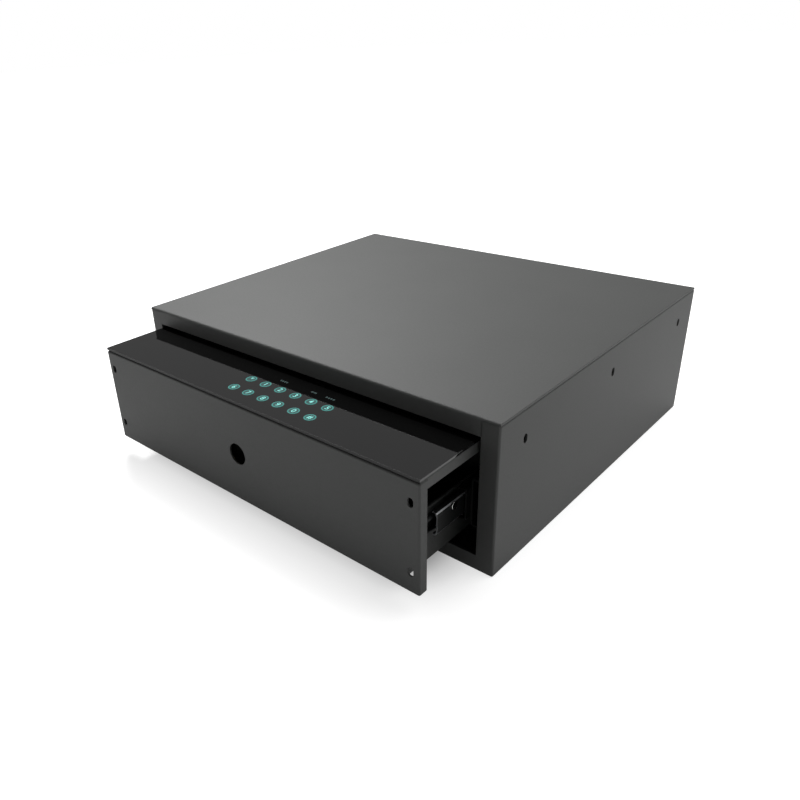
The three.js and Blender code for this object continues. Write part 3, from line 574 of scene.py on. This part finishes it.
# Back panel screws
# Zinc plated pan head screws with a cross recess. The heads are domed, and the recess is stamped.
def grained(name, grain, colours, roughness, bump=None, detail=2.0, pattern="Noise", stretch=None, **inputs):
    """A finish with a fine pattern fixed to the piece.

    It wavers between two colours, or has one. Roughness is a value, or a pair to waver between. Bump is a
    strength and a depth, and stretch draws the pattern out along an axis.
    """
    material, tree, shader = new_material(name)
    place = add_node(tree, "ShaderNodeTexCoord").outputs["Object"]
    if stretch:
        place = add_node(tree, "ShaderNodeMapping", Vector=place, Scale=stretch).outputs["Vector"]
    waver = add_node(tree, f"ShaderNodeTex{pattern}", Vector=place, Scale=1 / grain, Detail=detail).outputs[0]
    if bump:
        dents = add_node(tree, "ShaderNodeBump", Height=waver, Strength=bump[0], Distance=bump[1])
        inputs["Normal"] = dents.outputs["Normal"]
    colour = tinted(tree, waver, *colours) if len(colours) == 2 else linear(colours[0])
    if isinstance(roughness, tuple):
        roughness = between(tree, waver, *roughness)
    set_inputs(tree, shader, Base_Color=colour, Roughness=roughness, **inputs)
    return material


zinc = grained("zinc_plated_steel", grain=3 * mm, colours=("#b9bcbd", "#9a9ea1"), roughness=(0.22, 0.42),
               detail=3.0, Metallic=1.0)

recess_length = 3.6 * mm
recess_width = 0.9 * mm
recess_depth = 1.1 * mm
shank_radius = 2 * mm
screw_edge = 0.08 * mm
turned_angle = 50
pan_head = 1.9 * mm
pan_rounding = 0.9 * mm
pan_flat_share = 0.35
pan_rounding_angle = math.radians(60)


def stamp_cross(screw, axis, middle, face, outward):
    """Stamps the cross recess into a screw head whose face looks along an axis."""
    arms = []
    for across, up in ((recess_length, recess_width), (recess_width, recess_length)):
        ends = (face - outward * recess_depth, face + outward * mm)
        arms.append(block_about("recess_arm", axis, middle, (across / 2, up / 2), ends))
    cut_out(screw, *arms)


def sink_end(piece, axis, outward, rings, depth):
    """Insets a bar's end face by one ring after another, and sinks what they leave."""
    open_up(piece)
    pick_faces(piece, lambda middle, normal: outward * normal["xyz".index(axis)] > facing)
    for ring in rings:
        bpy.ops.mesh.inset(thickness=ring)
    bpy.ops.transform.translate(value=[-outward * depth if a == axis else 0 for a in "xyz"])
    close_up()


def pan_head_screw(name, node):
    """A screw along Y with its head at the back, in the place of a CAD screw."""
    low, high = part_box(node)
    middle = centre_of(node)
    screw = start_bar(name, "y", (low.x, high.y - pan_head, low.z), high, 32)
    sink_end(screw, "y", 1, [pan_flat_share * (high.x - low.x) / 2], hair / 10)
    use_modifier(screw, "BEVEL", width=pan_rounding, segments=4, limit_method="ANGLE",
                 angle_limit=pan_rounding_angle)
    stamp_cross(screw, "y", middle, high.y, 1)
    join_to(screw, bar_about("shank", "y", middle, shank_radius, (low.y, high.y - pan_head), 24))
    round_edges(screw, screw_edge, 1, turned_angle)
    return screw


def copy_to(piece, name, move):
    """A copy of the piece with its own mesh, moved."""
    take(piece)
    bpy.ops.object.duplicate(linked=False)
    copy = bpy.context.object
    copy.parent = None
    copy.location = move
    return apply_place(copy, name)


def fit_copies(first, name, nodes, material, body, slot):
    """Copies the first node's piece to the other nodes, and fits them all."""
    pieces = [first]
    for i, node in enumerate(nodes[1:], 2):
        pieces.append(copy_to(first, f"{name}_{i}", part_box(node)[0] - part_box(nodes[0])[0]))
    for piece, node in zip(pieces, nodes):
        fit(piece, material, body, slot, node)


fit_copies(pan_head_screw("back_panel_screw_1", screw_nodes[0]), "back_panel_screw", screw_nodes, zinc,
           "housing", "zinc")

# Drawer front
# One steel sheet flanged back all round, with a hole for the override key and four slots for screws that
# fix a wooden front over it. Powder coated with the rest.
front_sheet = 1.5 * mm
front_bend = 1.6 * mm
key_hole_radius = 9.5 * mm
front_slot_size = (5 * mm, 7.5 * mm)
front_slot_reach = 175 * mm
front_slot_heights = (91.0 * mm, 34.3 * mm)
plate_low, plate_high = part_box("front_plate")
cylinder_low, cylinder_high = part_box("key_cylinder")
lock_middle = centre_of("key_cylinder")
front_plate = start_skin("drawer_front", plate_low, plate_high, lambda middle, normal: normal.y > facing)
bend_edges(front_plate, front_bend, 5,
           lambda middle, way: abs(way.y) > facing or middle.y < plate_low.y + hair)
thicken(front_plate, front_sheet)
cutters = [bar_about("key_hole", "y", lock_middle, key_hole_radius,
                     (plate_low.y - mm, plate_low.y + 2 * front_sheet), 96)]
for sign in (1, -1):
    for z in front_slot_heights:
        cutters.append(slot_cutter("y", (sign * front_slot_reach, plate_low.y + front_sheet / 2, z),
                                   *front_slot_size, 2 * front_sheet))
cut_out(front_plate, *cutters)
round_edges(front_plate, cut_edge)
fit(front_plate, powder_coat, "drawer", "powder_coat", "front_plate")

# Drawer lid
# The cover over the lock and the batteries: a sheet with its sides and back turned down, a window for the
# keypad board and a slot for the bolt.
lid_sheet = 1.2 * mm
lid_bend = 1.25 * mm
lid_edge = 0.15 * mm
lid_low, lid_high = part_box("drawer_lid")
board_low, board_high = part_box("keypad_board")
bolt_low, bolt_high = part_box("lock_bolt")
lid_gap = 0.3 * mm
bolt_left = 9.7 * mm
under_lid = lid_high.z - 3 * mm
lid = start_skin("lock_cover_lid", lid_low, lid_high,
                 lambda middle, normal: normal.z < -facing or normal.y < -facing)
bend_edges(lid, lid_bend, 5,
           lambda middle, way: middle.z > lid_high.z - hair and middle.y > lid_low.y + hair)
thicken(lid, lid_sheet)
cut_out(
    lid,
    start_block("front_clearance", (lid_low.x - mm, lid_low.y - mm, lid_low.z - mm),
                (lid_high.x + mm, plate_high.y + lid_gap, lid_high.z - lid_sheet)),
    start_block("board_window", (board_low.x - lid_gap, board_low.y - lid_gap, under_lid),
                (board_high.x + lid_gap, board_high.y + lid_gap, lid_high.z + mm)),
    start_block("bolt_slot", (bolt_left, bolt_low.y - lid_gap, under_lid),
                (bolt_high.x + lid_gap, bolt_high.y + lid_gap, lid_high.z + mm)),
)
round_edges(lid, lid_edge)
fit(lid, powder_coat, "drawer", "powder_coat", "drawer_lid")

# Touch panel
# A polished black acrylic sheet bonded to the lid. It mirrors what stands around it, and is nearly black
# where it mirrors the dark housing. Its front edge is left as the saw left it, matt.
panel_side_edge = 0.4 * mm
panel_edge = 0.15 * mm
acrylic_ior = 1.49
gloss_black = grained("polished_black_acrylic", grain=25 * mm, colours=("#060606",),
                      roughness=(0.03, 0.06), IOR=acrylic_ior)
sawn_black = grained("sawn_black_acrylic", grain=0.8 * mm, colours=("#1c1c1c", "#262626"), roughness=0.6,
                     IOR=acrylic_ior, Specular_IOR_Level=0.3)
glass_low, glass_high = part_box("touch_panel")
touch_panel = start_block("touch_panel_sheet", glass_low, glass_high)
open_up(touch_panel)
bend_edges(touch_panel, panel_side_edge, 3,
           lambda middle, way: abs(way.y) > facing and middle.z > glass_high.z - hair)
close_up()
round_edges(touch_panel, panel_edge, 2)
fit(touch_panel, gloss_black, "drawer", "touch_glass", "touch_panel")

cut_end_normal = -0.3
touch_panel.data.materials.append(sawn_black)
for face in touch_panel.data.polygons:
    face.material_index = int(face.normal.y < cut_end_normal)

# Touch keys
# Twelve lit touch fields under the panel in two rows: a ring with its figure on a darker field, all lit
# teal from the board below. Behind them stand three small dim signs, for the battery, lock and bell.
figure_teal = "#8df0e6"
ring_teal = "#2f9c93"
field_teal = "#0b4543"
sign_teal = "#1c3838"
unlit_print = "#0b1413"
key_columns = [(-18.275 + 17.35 * column) * mm for column in range(6)]
key_rows = ((-219.5 * mm, "67890#"), (-200.7 * mm, "*12345"))
sign_places = ((7.7 * mm, 9 * mm), (41.7 * mm, 6 * mm), (59.3 * mm, 10 * mm))
sign_row = -187.8 * mm
sign_bars = 4
sign_bar_share = 0.62
sign_height = 1.9 * mm
ring_outer = 4.6 * mm
ring_line = 0.62 * mm
field_radius = 5.1 * mm
figure_height = 5.0 * mm
figure_boldness = 0.012
cap_height_share = 0.72
print_height = 0.02 * mm
print_unevenness = 0.15
field_top = glass_high.z + print_height
print_top = field_top + 2 * print_height


def lit_print(name, colour):
    """Print that is lit from behind: matt, and uneven as a diffuser lights it."""
    material, tree, shader = new_material(name)
    place = add_node(tree, "ShaderNodeTexCoord").outputs["Object"]
    spread = add_node(tree, "ShaderNodeTexNoise", Vector=place, Scale=1 / (6 * mm), Detail=1.0).outputs["Fac"]
    level = between(tree, spread, 1 - print_unevenness, 1 + print_unevenness)
    set_inputs(tree, shader, Emission_Strength=level, Emission_Color=linear(colour),
               Base_Color=linear(unlit_print), Roughness=0.5, Specular_IOR_Level=0.1)
    return material


def raise_print(piece, name):
    """Gives flat print its thickness, its place and its name."""
    apply_place(piece, name)
    use_modifier(piece, "SOLIDIFY", thickness=print_height, offset=0)
    take(piece)
    bpy.ops.object.shade_flat()
    return piece


def key_disc(name, x, y, z, radius, line=None):
    """A flat disc, or a ring where a line width is given: a disc inset, its middle taken out."""
    deselect_everything()
    bpy.ops.mesh.primitive_circle_add(vertices=64, radius=radius, fill_type="NGON", location=(x, y, z))
    disc = apply_place(bpy.context.object, name)
    if line is not None:
        open_up(disc)
        bpy.ops.mesh.select_all(action="SELECT")
        bpy.ops.mesh.inset(thickness=line)
        bpy.ops.mesh.delete(type="FACE")
        close_up()
    return raise_print(disc, name)


def figure(name, text, x, y, size):
    """A figure in Blender's own plain type, centred on a place."""
    deselect_everything()
    bpy.ops.object.text_add(location=(x, y, print_top))
    letters = bpy.context.object
    letters.data.body = text
    letters.data.size = size / cap_height_share
    letters.data.align_x = "CENTER"
    letters.data.align_y = "CENTER"
    letters.data.resolution_u = 6
    letters.data.offset = figure_boldness * size
    bpy.ops.object.convert(target="MESH")
    return raise_print(bpy.context.object, name)


fields, rings, figures = [], [], []
for y, row in key_rows:
    for x, text in zip(key_columns, row):
        fields.append(key_disc(f"field_{len(fields)}", x, y, field_top, field_radius))
        rings.append(key_disc(f"ring_{len(rings)}", x, y, print_top, ring_outer, ring_line))
        figures.append(figure(f"figure_{len(figures)}", text, x, y, figure_height))
signs = []
for x, width in sign_places:
    step = width / sign_bars
    for i in range(sign_bars):
        bar_x = x - width / 2 + (i + 0.5) * step
        deselect_everything()
        bpy.ops.mesh.primitive_plane_add(size=1, location=(bar_x, sign_row, print_top))
        bpy.context.object.scale = (sign_bar_share * step, sign_height, 1)
        signs.append(raise_print(bpy.context.object, f"sign_{len(signs)}"))
for prints, name, colour in ((fields, "dim_key_fields", field_teal), (rings, "lit_key_rings", ring_teal),
                             (figures, "lit_key_figures", figure_teal), (signs, "dim_signs", sign_teal)):
    fit(apply_place(join_to(*prints), name), lit_print(name, colour), "drawer", "touch_glass")

# Tray
# The drawer's pan, folded from one sheet: floor, low front and back, and sides whose top edges are folded
# over inwards as a hem, so that no cut edge meets the hand.
tray_sheet = 1.2 * mm
tray_bend = 1.3 * mm
tray_edge = 0.15 * mm
hem_width = 2.5 * mm
hem_depth = 8 * mm
hem_bend = 0.8 * mm
tray_gap = 0.3 * mm
lock_notch_radius = 12.5 * mm
tray_low, tray_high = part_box("drawer_tray")
tray = start_skin("drawer_pan", tray_low, tray_high, lambda middle, normal: normal.z > facing)
bend_edges(tray, tray_bend, 4, lambda middle, way: middle.z < tray_low.z + hair and abs(way.y) > facing)
for sign in (1, -1):
    pick_edges(tray, lambda middle, way: sign * middle.x > tray_high.x - hair and abs(way.y) > facing
               and middle.z > tray_high.z - hair)
    fold((-sign * hem_width, 0, 0), (0, 0, -hem_depth))
face_outwards()
for sign in (1, -1):
    bend_edges(tray, hem_bend, 3, lambda middle, way: sign * middle.x > tray_high.x - 3 * mm
               and abs(way.y) > facing and middle.z > tray_high.z - hair)
thicken(tray, tray_sheet)
cut_out(
    tray,
    start_block("flange_clearance", (tray_low.x - mm, tray_low.y - mm, tray_low.z - mm),
                (tray_high.x + mm, plate_high.y + tray_gap, plate_low.z + front_sheet + tray_gap)),
    bar_about("lock_notch", "y", lock_middle, lock_notch_radius, (tray_low.y - mm, tray_low.y + 3 * mm)),
)
round_edges(tray, tray_edge)
fit(tray, powder_coat, "drawer", "powder_coat", "drawer_tray")

# Slide brackets
# Hat shaped steel brackets, spot welded to the housing's walls, that bring the slides in to the tray. Their
# black electrocoat is thin and nearly matt, with faint lines along the rolled strip.
slide_black = grained("black_electrocoated_steel", grain=0.8 * mm, colours=("#0f1010", "#141515"),
                      roughness=(0.38, 0.44), stretch=(1, 0.04, 1), Specular_IOR_Level=0.16)
slide_middle = 51.2 * mm
bracket_sheet = 1.5 * mm
bracket_bend = 1.8 * mm
bracket_edge = 0.2 * mm
bracket_rise = 20 * mm
bracket_lip = 13 * mm


def folded_strip(name, y_low, y_high, line, sheet, bend):
    """Sheet folded along a line of X and Z places, as long as from one Y place to another."""
    (x, z), (next_x, next_z) = line[:2]
    centre = ((x + next_x) / 2, (y_low + y_high) / 2, (z + next_z) / 2)
    tilt = -math.atan2(next_z - z, next_x - x)
    deselect_everything()
    bpy.ops.mesh.primitive_plane_add(size=1, location=centre, rotation=(0, tilt, 0))
    bpy.context.object.scale = (math.hypot(next_x - x, next_z - z), y_high - y_low, 1)
    strip = apply_place(bpy.context.object, name)
    open_up(strip)
    pick_edges(strip, lambda middle, way: abs(way.y) > facing
               and math.hypot(middle.x - next_x, middle.z - next_z) < hair / 5)
    fold(*[(b[0] - a[0], 0, b[1] - a[1]) for a, b in zip(line[1:], line[2:])])
    face_outwards()
    pick(strip, "EDGE", lambda edge: not edge.is_boundary)
    bpy.ops.mesh.bevel(offset=bend, segments=4, affect="EDGES", clamp_overlap=True)
    thicken(strip, sheet, 0)
    return strip


def screw_cutters(nodes, web, reach, radius):
    """Cutters along X through a web for the screws or the rivet of these CAD nodes."""
    return [bar_about("screw_cutter", "x", centre_of(node), radius, (web - reach, web + reach), 24)
            for node in nodes]


for side, sign in sides:
    low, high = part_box(f"slide_bracket_{side}")
    wall = sign * (case_high.x - body_sheet - bracket_sheet / 2)
    web = (low.x if sign > 0 else high.x) + sign * bracket_sheet / 2
    line = [(wall, slide_middle + bracket_rise + bracket_lip), (wall, slide_middle + bracket_rise),
            (web, slide_middle + bracket_rise), (web, slide_middle - bracket_rise),
            (wall, slide_middle - bracket_rise), (wall, slide_middle - bracket_rise - bracket_lip)]
    bracket = folded_strip(f"hat_bracket_{side}", low.y, high.y, line, bracket_sheet, bracket_bend)
    screws_here = [f"cabinet_slide_screw_{side}_{i}" for i in (1, 2)]
    cut_out(bracket, *screw_cutters(screws_here, web, 2 * bracket_sheet, screw_hole))
    round_edges(bracket, bracket_edge)
    fit(bracket, slide_black, "housing", "slide_black", f"slide_bracket_{side}")

# Ball slides
# Three roll formed members a side, cold rolled strip electrocoated like the brackets, that run in one
# another on balls. The middle member's outward bends and cut front end are coloured bright bare steel, a
# painted highlight along them.
# Bright bare steel, used as a painted highlight on the middle members' bends and front ends.
bare_steel_painted_highlight = grained("painted_highlight_bare_steel", grain=0.4 * mm, colours=("#b4b6b8", "#c6c8ca"), roughness=0.5,
                       Metallic=1.0)
slide_sheet = 1.2 * mm
member_edge = 0.22 * mm
highlight_from = 0.45
highlight_to = 0.75
tray_wall = tray_high.x
members = {
    "cabinet_slide": ("housing", 0.9 * mm, [(2.9, 10.65), (2.9, 12.9), (9.8, 12.9)]),
    "middle_slide": ("middle", 0.7 * mm, [(3.8, 9.6), (5.4, 9.4), (6.7, 8.6), (7.6, 6.8)]),
    "drawer_slide": ("drawer", 0.7 * mm, [(4.0, 4.4), (3.7, 6.0), (2.2, 6.6), (0.6, 5.2)]),
}
rivet_hole = 1.7 * mm
head_hole = 3.8 * mm
web_reach = 2 * mm


def whole_line(upper, sign):
    """A section's line from its upper half, given in millimetres out from the tray's wall and up."""
    half = [(sign * (tray_wall + out * mm), up * mm) for out, up in upper]
    line = [(x, slide_middle + up) for x, up in half]
    return line + [(x, slide_middle - up) for x, up in reversed(half)]


for side, sign in sides:
    for member, (body, bend, upper) in members.items():
        node = f"{member}_{side}"
        low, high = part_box(node)
        line = whole_line(upper, sign)
        web = line[len(upper) - 1][0]
        strip = folded_strip(f"{member}_member_{side}", low.y, high.y, line, slide_sheet, bend)
        if member == "middle_slide":
            cut_out(strip, *screw_cutters([f"stop_rivet_{side}"], web, web_reach, rivet_hole))
        else:
            screws_here = [f"{member}_screw_{side}_{i}" for i in (1, 2)]
            cut_out(strip, *screw_cutters(screws_here, web, web_reach, head_hole))
        round_edges(strip, member_edge)
        fit(strip, slide_black, f"middle_{side}" if body == "middle" else body, "slide_black", node)
        if member == "middle_slide":
            # Painted highlight: bright bare steel on the outward bends and the cut front end.
            strip.data.materials.append(bare_steel_painted_highlight)
            for face in strip.data.polygons:
                at_bend = highlight_from < abs(face.normal.z) < highlight_to and sign * face.normal.x > 0
                face.material_index = int(at_bend or face.normal.y < cut_end_normal)

# Slide screws
# Flat head screws with a cross recess, sunk in the members' webs. A member's second screw is copied from its
# fitted first one.
flat_head = 1.15 * mm
for side, sign in sides:
    for member, body, faces_out in (("cabinet_slide", "housing", -sign), ("drawer_slide", "drawer", sign)):
        nodes = [f"{member}_screw_{side}_{i}" for i in (1, 2)]
        low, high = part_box(nodes[0])
        middle = centre_of(nodes[0])
        open_x, deep_x = (high.x, low.x) if faces_out > 0 else (low.x, high.x)
        neck_x = open_x - faces_out * flat_head
        screw = start_bar(f"{member}_flat_screw_{side}_1", "x", (open_x, low.y, low.z),
                          (neck_x, high.y, high.z), 32)
        stamp_cross(screw, "x", middle, open_x, faces_out)
        join_to(screw, bar_about("shank", "x", middle, shank_radius, (neck_x, deep_x), 24))
        round_edges(screw, screw_edge, 1, turned_angle)
        fit(screw, zinc, body, "zinc", nodes[0])
        second = copy_to(screw, f"{member}_flat_screw_{side}_2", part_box(nodes[1])[0] - low)
        fit(second, zinc, body, "zinc", nodes[1])

# Stop rivets
# A bright nickel plated rivet near the front of each middle member, its head outwards, domed by the tool.
nickel = grained("bright_nickel_plate", grain=1.5 * mm, colours=("#e2e3e1", "#cfd0cd"),
                 roughness=(0.14, 0.22), Metallic=1.0)
rivet_head = 0.6 * mm
rivet_rings = (1.1 * mm, 0.9 * mm)
rivet_dish = 0.25 * mm
rivet_shank = 1.4 * mm
rivet_edge = 0.2 * mm
for side, sign in sides:
    node = f"stop_rivet_{side}"
    low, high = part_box(node)
    head_x, tail_x = (high.x, low.x) if sign > 0 else (low.x, high.x)
    under_head = head_x - sign * rivet_head
    rivet = start_bar(f"bright_rivet_{side}", "x", (head_x, low.y, low.z), (under_head, high.y, high.z), 40)
    sink_end(rivet, "x", sign, rivet_rings, rivet_dish)
    join_to(rivet, bar_about("shank", "x", centre_of(node), rivet_shank, (tail_x, under_head), 24))
    round_edges(rivet, rivet_edge, 2, turned_angle)
    fit(rivet, nickel, f"middle_{side}", "zinc", node)

# Ball cages
# Thin zinc plated strips, bent to a channel, that keep two rows of steel balls apart between the members.
ball_radius = 1.0 * mm
ball_pitch = 5.4 * mm
ball_margin = 4 * mm
cages = {
    "outer_ball_cage": ("outer_cage", [(4.4, 11.25), (8.7, 11.25)], 6.2),
    "inner_ball_cage": ("inner_cage", [(2.6, 7.9), (5.4, 7.9)], 3.9),
}
cage_sheet = 0.5 * mm
cage_bend = 0.4 * mm
cage_smoothing = math.radians(45)
for side, sign in sides:
    for cage, (body, upper, ball_out) in cages.items():
        node = f"{cage}_{side}"
        low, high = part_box(node)
        strip = folded_strip(f"{cage}_strip_{side}", low.y, high.y, whole_line(upper, sign), cage_sheet,
                             cage_bend)
        balls = []
        count = int((high.y - low.y - 2 * ball_margin) / ball_pitch) + 1
        for row in (1, -1):
            for i in range(count):
                deselect_everything()
                bpy.ops.mesh.primitive_ico_sphere_add(
                    subdivisions=2, radius=ball_radius,
                    location=(sign * (tray_wall + ball_out * mm), low.y + ball_margin + i * ball_pitch,
                              slide_middle + row * upper[0][1] * mm))
                balls.append(apply_place(bpy.context.object, "ball"))
        join_to(strip, *balls)
        take(strip)
        bpy.ops.object.shade_smooth_by_angle(angle=cage_smoothing)
        fit(strip, zinc, f"{body}_{side}", "zinc", node)

# Striker
# A steel angle welded under the cover. The raised bolt meets it, with the drawer this far out at most.
same_point = 0.002 * mm
same_plane = math.radians(1)


def dress(node, name, edge, material, body, slot):
    """Fits a copy of a CAD node's mesh, made one skin, its flats cleared of needless edges."""
    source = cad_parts[node]
    copy = bpy.data.objects.new(name, source.data.copy())
    bpy.context.scene.collection.objects.link(copy)
    open_up(copy, "VERT")
    bpy.ops.mesh.select_all(action="SELECT")
    bpy.ops.mesh.remove_doubles(threshold=same_point)
    bpy.ops.mesh.dissolve_limited(angle_limit=same_plane)
    close_up()
    copy.data.name = name
    round_edges(copy, edge)
    return fit(copy, material, body, slot, node)


dress("striker", "striker_angle", 0.3 * mm, zinc, "housing", "zinc")

# Bumpers
# Two rubber posts on the back panel that the closed drawer meets, their front ends rounded over.
rubber = grained("moulded_black_rubber", grain=2 * mm, colours=("#1a1a1a", "#262525"), roughness=0.8,
                 bump=(0.3, 0.05 * mm), detail=4.0)
bumper_rounding = 2 * mm
bumper_edge = 0.3 * mm
for side in ("left", "right"):
    low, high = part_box(f"bumper_{side}")
    bumper = start_bar(f"rubber_post_{side}", "y", low, high, 40)
    open_up(bumper)
    bend_edges(bumper, bumper_rounding, 5,
               lambda middle, way: middle.y < low.y + hair and abs(way.y) < crosswise)
    close_up()
    round_edges(bumper, bumper_edge, 2, turned_angle)
    fit(bumper, rubber, "housing", "rubber", f"bumper_{side}")

# Control box
# The sheet walls round the lock and the batteries, widened behind into the bulkhead across the tray.
dress("control_box", "control_box_walls", 0.15 * mm, powder_coat, "drawer", "powder_coat")

# Keypad board
# A glass epoxy circuit board under the panel, green solder mask over copper tracks.
board_green, tree, shader = new_material("green_solder_mask")
place = add_node(tree, "ShaderNodeTexCoord").outputs["Object"]
tracks = add_node(tree, "ShaderNodeTexBrick", Vector=place, Scale=1 / (9 * mm), Color1=linear("#123c22"),
                  Color2=linear("#15452a"), Mortar=linear("#1f6238"))
set_inputs(tree, shader, Base_Color=tracks.outputs["Color"], Roughness=0.35)
dress("keypad_board", "keypad_circuit_board", 0.05 * mm, board_green, "drawer", "circuit_board")

# Override lock
# A die cast cam lock held by a hexagon nut. It is coloured near black, a blackened finish that also paints
# shade into the front's hole, so that the lock doesn't show there. The brass plug in it takes the key, and
# its square tail carries the cam that draws the bolt down.
# Near black: the lock's blackened finish and painted shade for the front's hole.
black_chrome_and_painted_shade = grained("black_zinc_and_painted_shade", grain=4 * mm, colours=("#0c0c0d", "#141415"),
                       roughness=0.55, detail=3.0)
lock_head = 3 * mm
lock_body_radius = 9 * mm
lock_bore_radius = 6.3 * mm
lock_edge = 0.5 * mm
lock_rim = 64
lock_overlap = mm / 5
barrel = start_bar("lock_cylinder_head", "y", cylinder_low,
                   (cylinder_high.x, cylinder_low.y + lock_head, cylinder_high.z), lock_rim)
sleeve = bar_about("sleeve", "y", lock_middle, lock_body_radius,
                   (cylinder_low.y + lock_head - lock_overlap, cylinder_high.y), lock_rim)
for part in (barrel, sleeve):
    cut_out(part, bar_about("bore", "y", lock_middle, lock_bore_radius,
                            (cylinder_low.y - mm, cylinder_high.y + mm)))
join_to(barrel, sleeve)
round_edges(barrel, lock_edge, 3, turned_angle)
fit(barrel, black_chrome_and_painted_shade, "drawer", "hard_steel", "key_cylinder")
dress("cylinder_nut", "cylinder_ring_nut", 0.5 * mm, zinc, "drawer", "zinc")

brass = grained("turned_brass", grain=3 * mm, colours=("#a88442", "#c39d55"), roughness=(0.28, 0.45),
                detail=3.0, Metallic=1.0)
plug_radius = 6 * mm
plug_edge = 0.25 * mm
plug_overhang = 1 * mm
tail_half = (2.5 * mm, 2.5 * mm)
keyway_half = (4 * mm, 1.1 * mm)
keyway_depth = 18 * mm
plug_low, plug_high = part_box("key_plug")
plug_back = cylinder_high.y + plug_overhang
plug = bar_about("key_plug_barrel", "y", lock_middle, plug_radius, (plug_low.y, plug_back))
cut_out(plug, block_about("keyway", "y", lock_middle, keyway_half,
                          (plug_low.y - mm, plug_low.y + keyway_depth)))
join_to(plug, block_about("square_tail", "y", lock_middle, tail_half,
                          (plug_back - lock_overlap, plug_high.y)))
round_edges(plug, plug_edge, 2, turned_angle)
fit(plug, brass, "key", "brass", "key_plug")
dress("release_cam", "release_cam_plate", 0.25 * mm, zinc, "key", "zinc")

# Bolt work
# A moulded case on the bulkhead guides the bolt, a milled steel bar with a rack, that the motor lifts
# through a brass pinion.
bright_steel = grained("ground_hardened_steel", grain=0.5 * mm, colours=("#8f9295", "#a9acae"),
                       roughness=(0.25, 0.42), stretch=(1, 1, 0.05), Metallic=1.0)
grey_plastic = grained("moulded_grey_abs", grain=0.9 * mm, colours=("#515459", "#5a5d62"), roughness=0.5,
                       bump=(0.25, 0.04 * mm), IOR=1.53)
dress("lock_case", "lock_case_box", 0.4 * mm, grey_plastic, "drawer", "grey_plastic")
dress("lock_case_cover", "lock_case_lid", 0.4 * mm, grey_plastic, "drawer", "grey_plastic")
dress("lock_bolt", "lock_bolt_bar", 0.15 * mm, bright_steel, "bolt", "hard_steel")
dress("drive_pinion", "drive_pinion_wheel", 0.1 * mm, brass, "pinion", "brass")
dress("lock_motor", "gear_motor", 0.4 * mm, bright_steel, "drawer", "hard_steel")

# Batteries
# Four size AA cells lying across a moulded tray: a steel can in a printed sleeve, with a bare crimped end
# and a button at the other.
black_plastic = grained("moulded_black_abs", grain=0.8 * mm, colours=("#161617", "#1d1d1e"),
                        roughness=0.55, bump=(0.3, 0.04 * mm))
dress("battery_holder", "battery_holder_tray", 0.3 * mm, black_plastic, "drawer", "black_plastic")

cell_nodes = [f"battery_{i}" for i in (1, 2, 3, 4)]
cell_low, cell_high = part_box(cell_nodes[0])
cell_length = cell_high.x - cell_low.x
cell_tip = 1 * mm
cell_edge = 0.4 * mm
crimp_width = 1.6 * mm
crimp_depth = 0.4 * mm
tip_radius = 2.7 * mm
sleeve_edge = 1.5 * mm
band_width = 9 * mm
bare_can = "#a7aaad"
sleeve_blue = "#2f4f6b"
band_gold = "#b98a3c"
cell_skin, tree, shader = new_material("printed_battery_sleeve")
place = add_node(tree, "ShaderNodeTexCoord").outputs["Object"]
along = add_node(tree, "ShaderNodeSeparateXYZ", Vector=place).outputs["X"]
bands = add_node(tree, "ShaderNodeMapRange", Value=along, From_Min=cell_low.x, From_Max=cell_high.x)
print_ramp = add_node(tree, "ShaderNodeValToRGB", Fac=bands.outputs["Result"])
print_ramp.color_ramp.interpolation = "CONSTANT"
fill_ramp(print_ramp.color_ramp, [(0, bare_can), (sleeve_edge / cell_length, sleeve_blue),
                                  (1 - (band_width + cell_tip) / cell_length, band_gold),
                                  (1 - (sleeve_edge + cell_tip) / cell_length, bare_can)])
set_inputs(tree, shader, Base_Color=print_ramp.outputs["Color"], Roughness=0.3, Metallic=0.35)

can = start_bar("aa_cell_1", "x", cell_low, (cell_high.x - cell_tip, cell_high.y, cell_high.z), 40)
sink_end(can, "x", 1, [crimp_width], crimp_depth)
join_to(can, bar_about("button", "x", centre_of(cell_nodes[0]), tip_radius,
                       (cell_high.x - 2 * cell_tip, cell_high.x), 32))
round_edges(can, cell_edge, 3, turned_angle)
fit_copies(can, "aa_cell", cell_nodes, cell_skin, "drawer", "cell_label")

# Battery cover
# A moulded plate over the batteries' opening in the bulkhead, held by one pan head screw.
dress("battery_cover", "battery_cover_plate", 0.4 * mm, black_plastic, "drawer", "black_plastic")
fit(pan_head_screw("battery_cover_pan_screw", "battery_cover_screw"), zinc, "drawer", "zinc",
    "battery_cover_screw")

# Liner mat
# A sheet of closed cell foam on the tray's floor, cut a little small, its edges pressed down.
foam = grained("closed_cell_foam", grain=1.6 * mm, colours=("#1b1c1d", "#2a2b2c"), roughness=0.9,
               bump=(0.5, 0.12 * mm), detail=0.0, pattern="Voronoi")
mat_edge = 0.8 * mm
mat = start_block("foam_liner_mat", *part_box("liner_mat"))
round_edges(mat, mat_edge, 3)
fit(mat, foam, "drawer", "foam", "liner_mat")
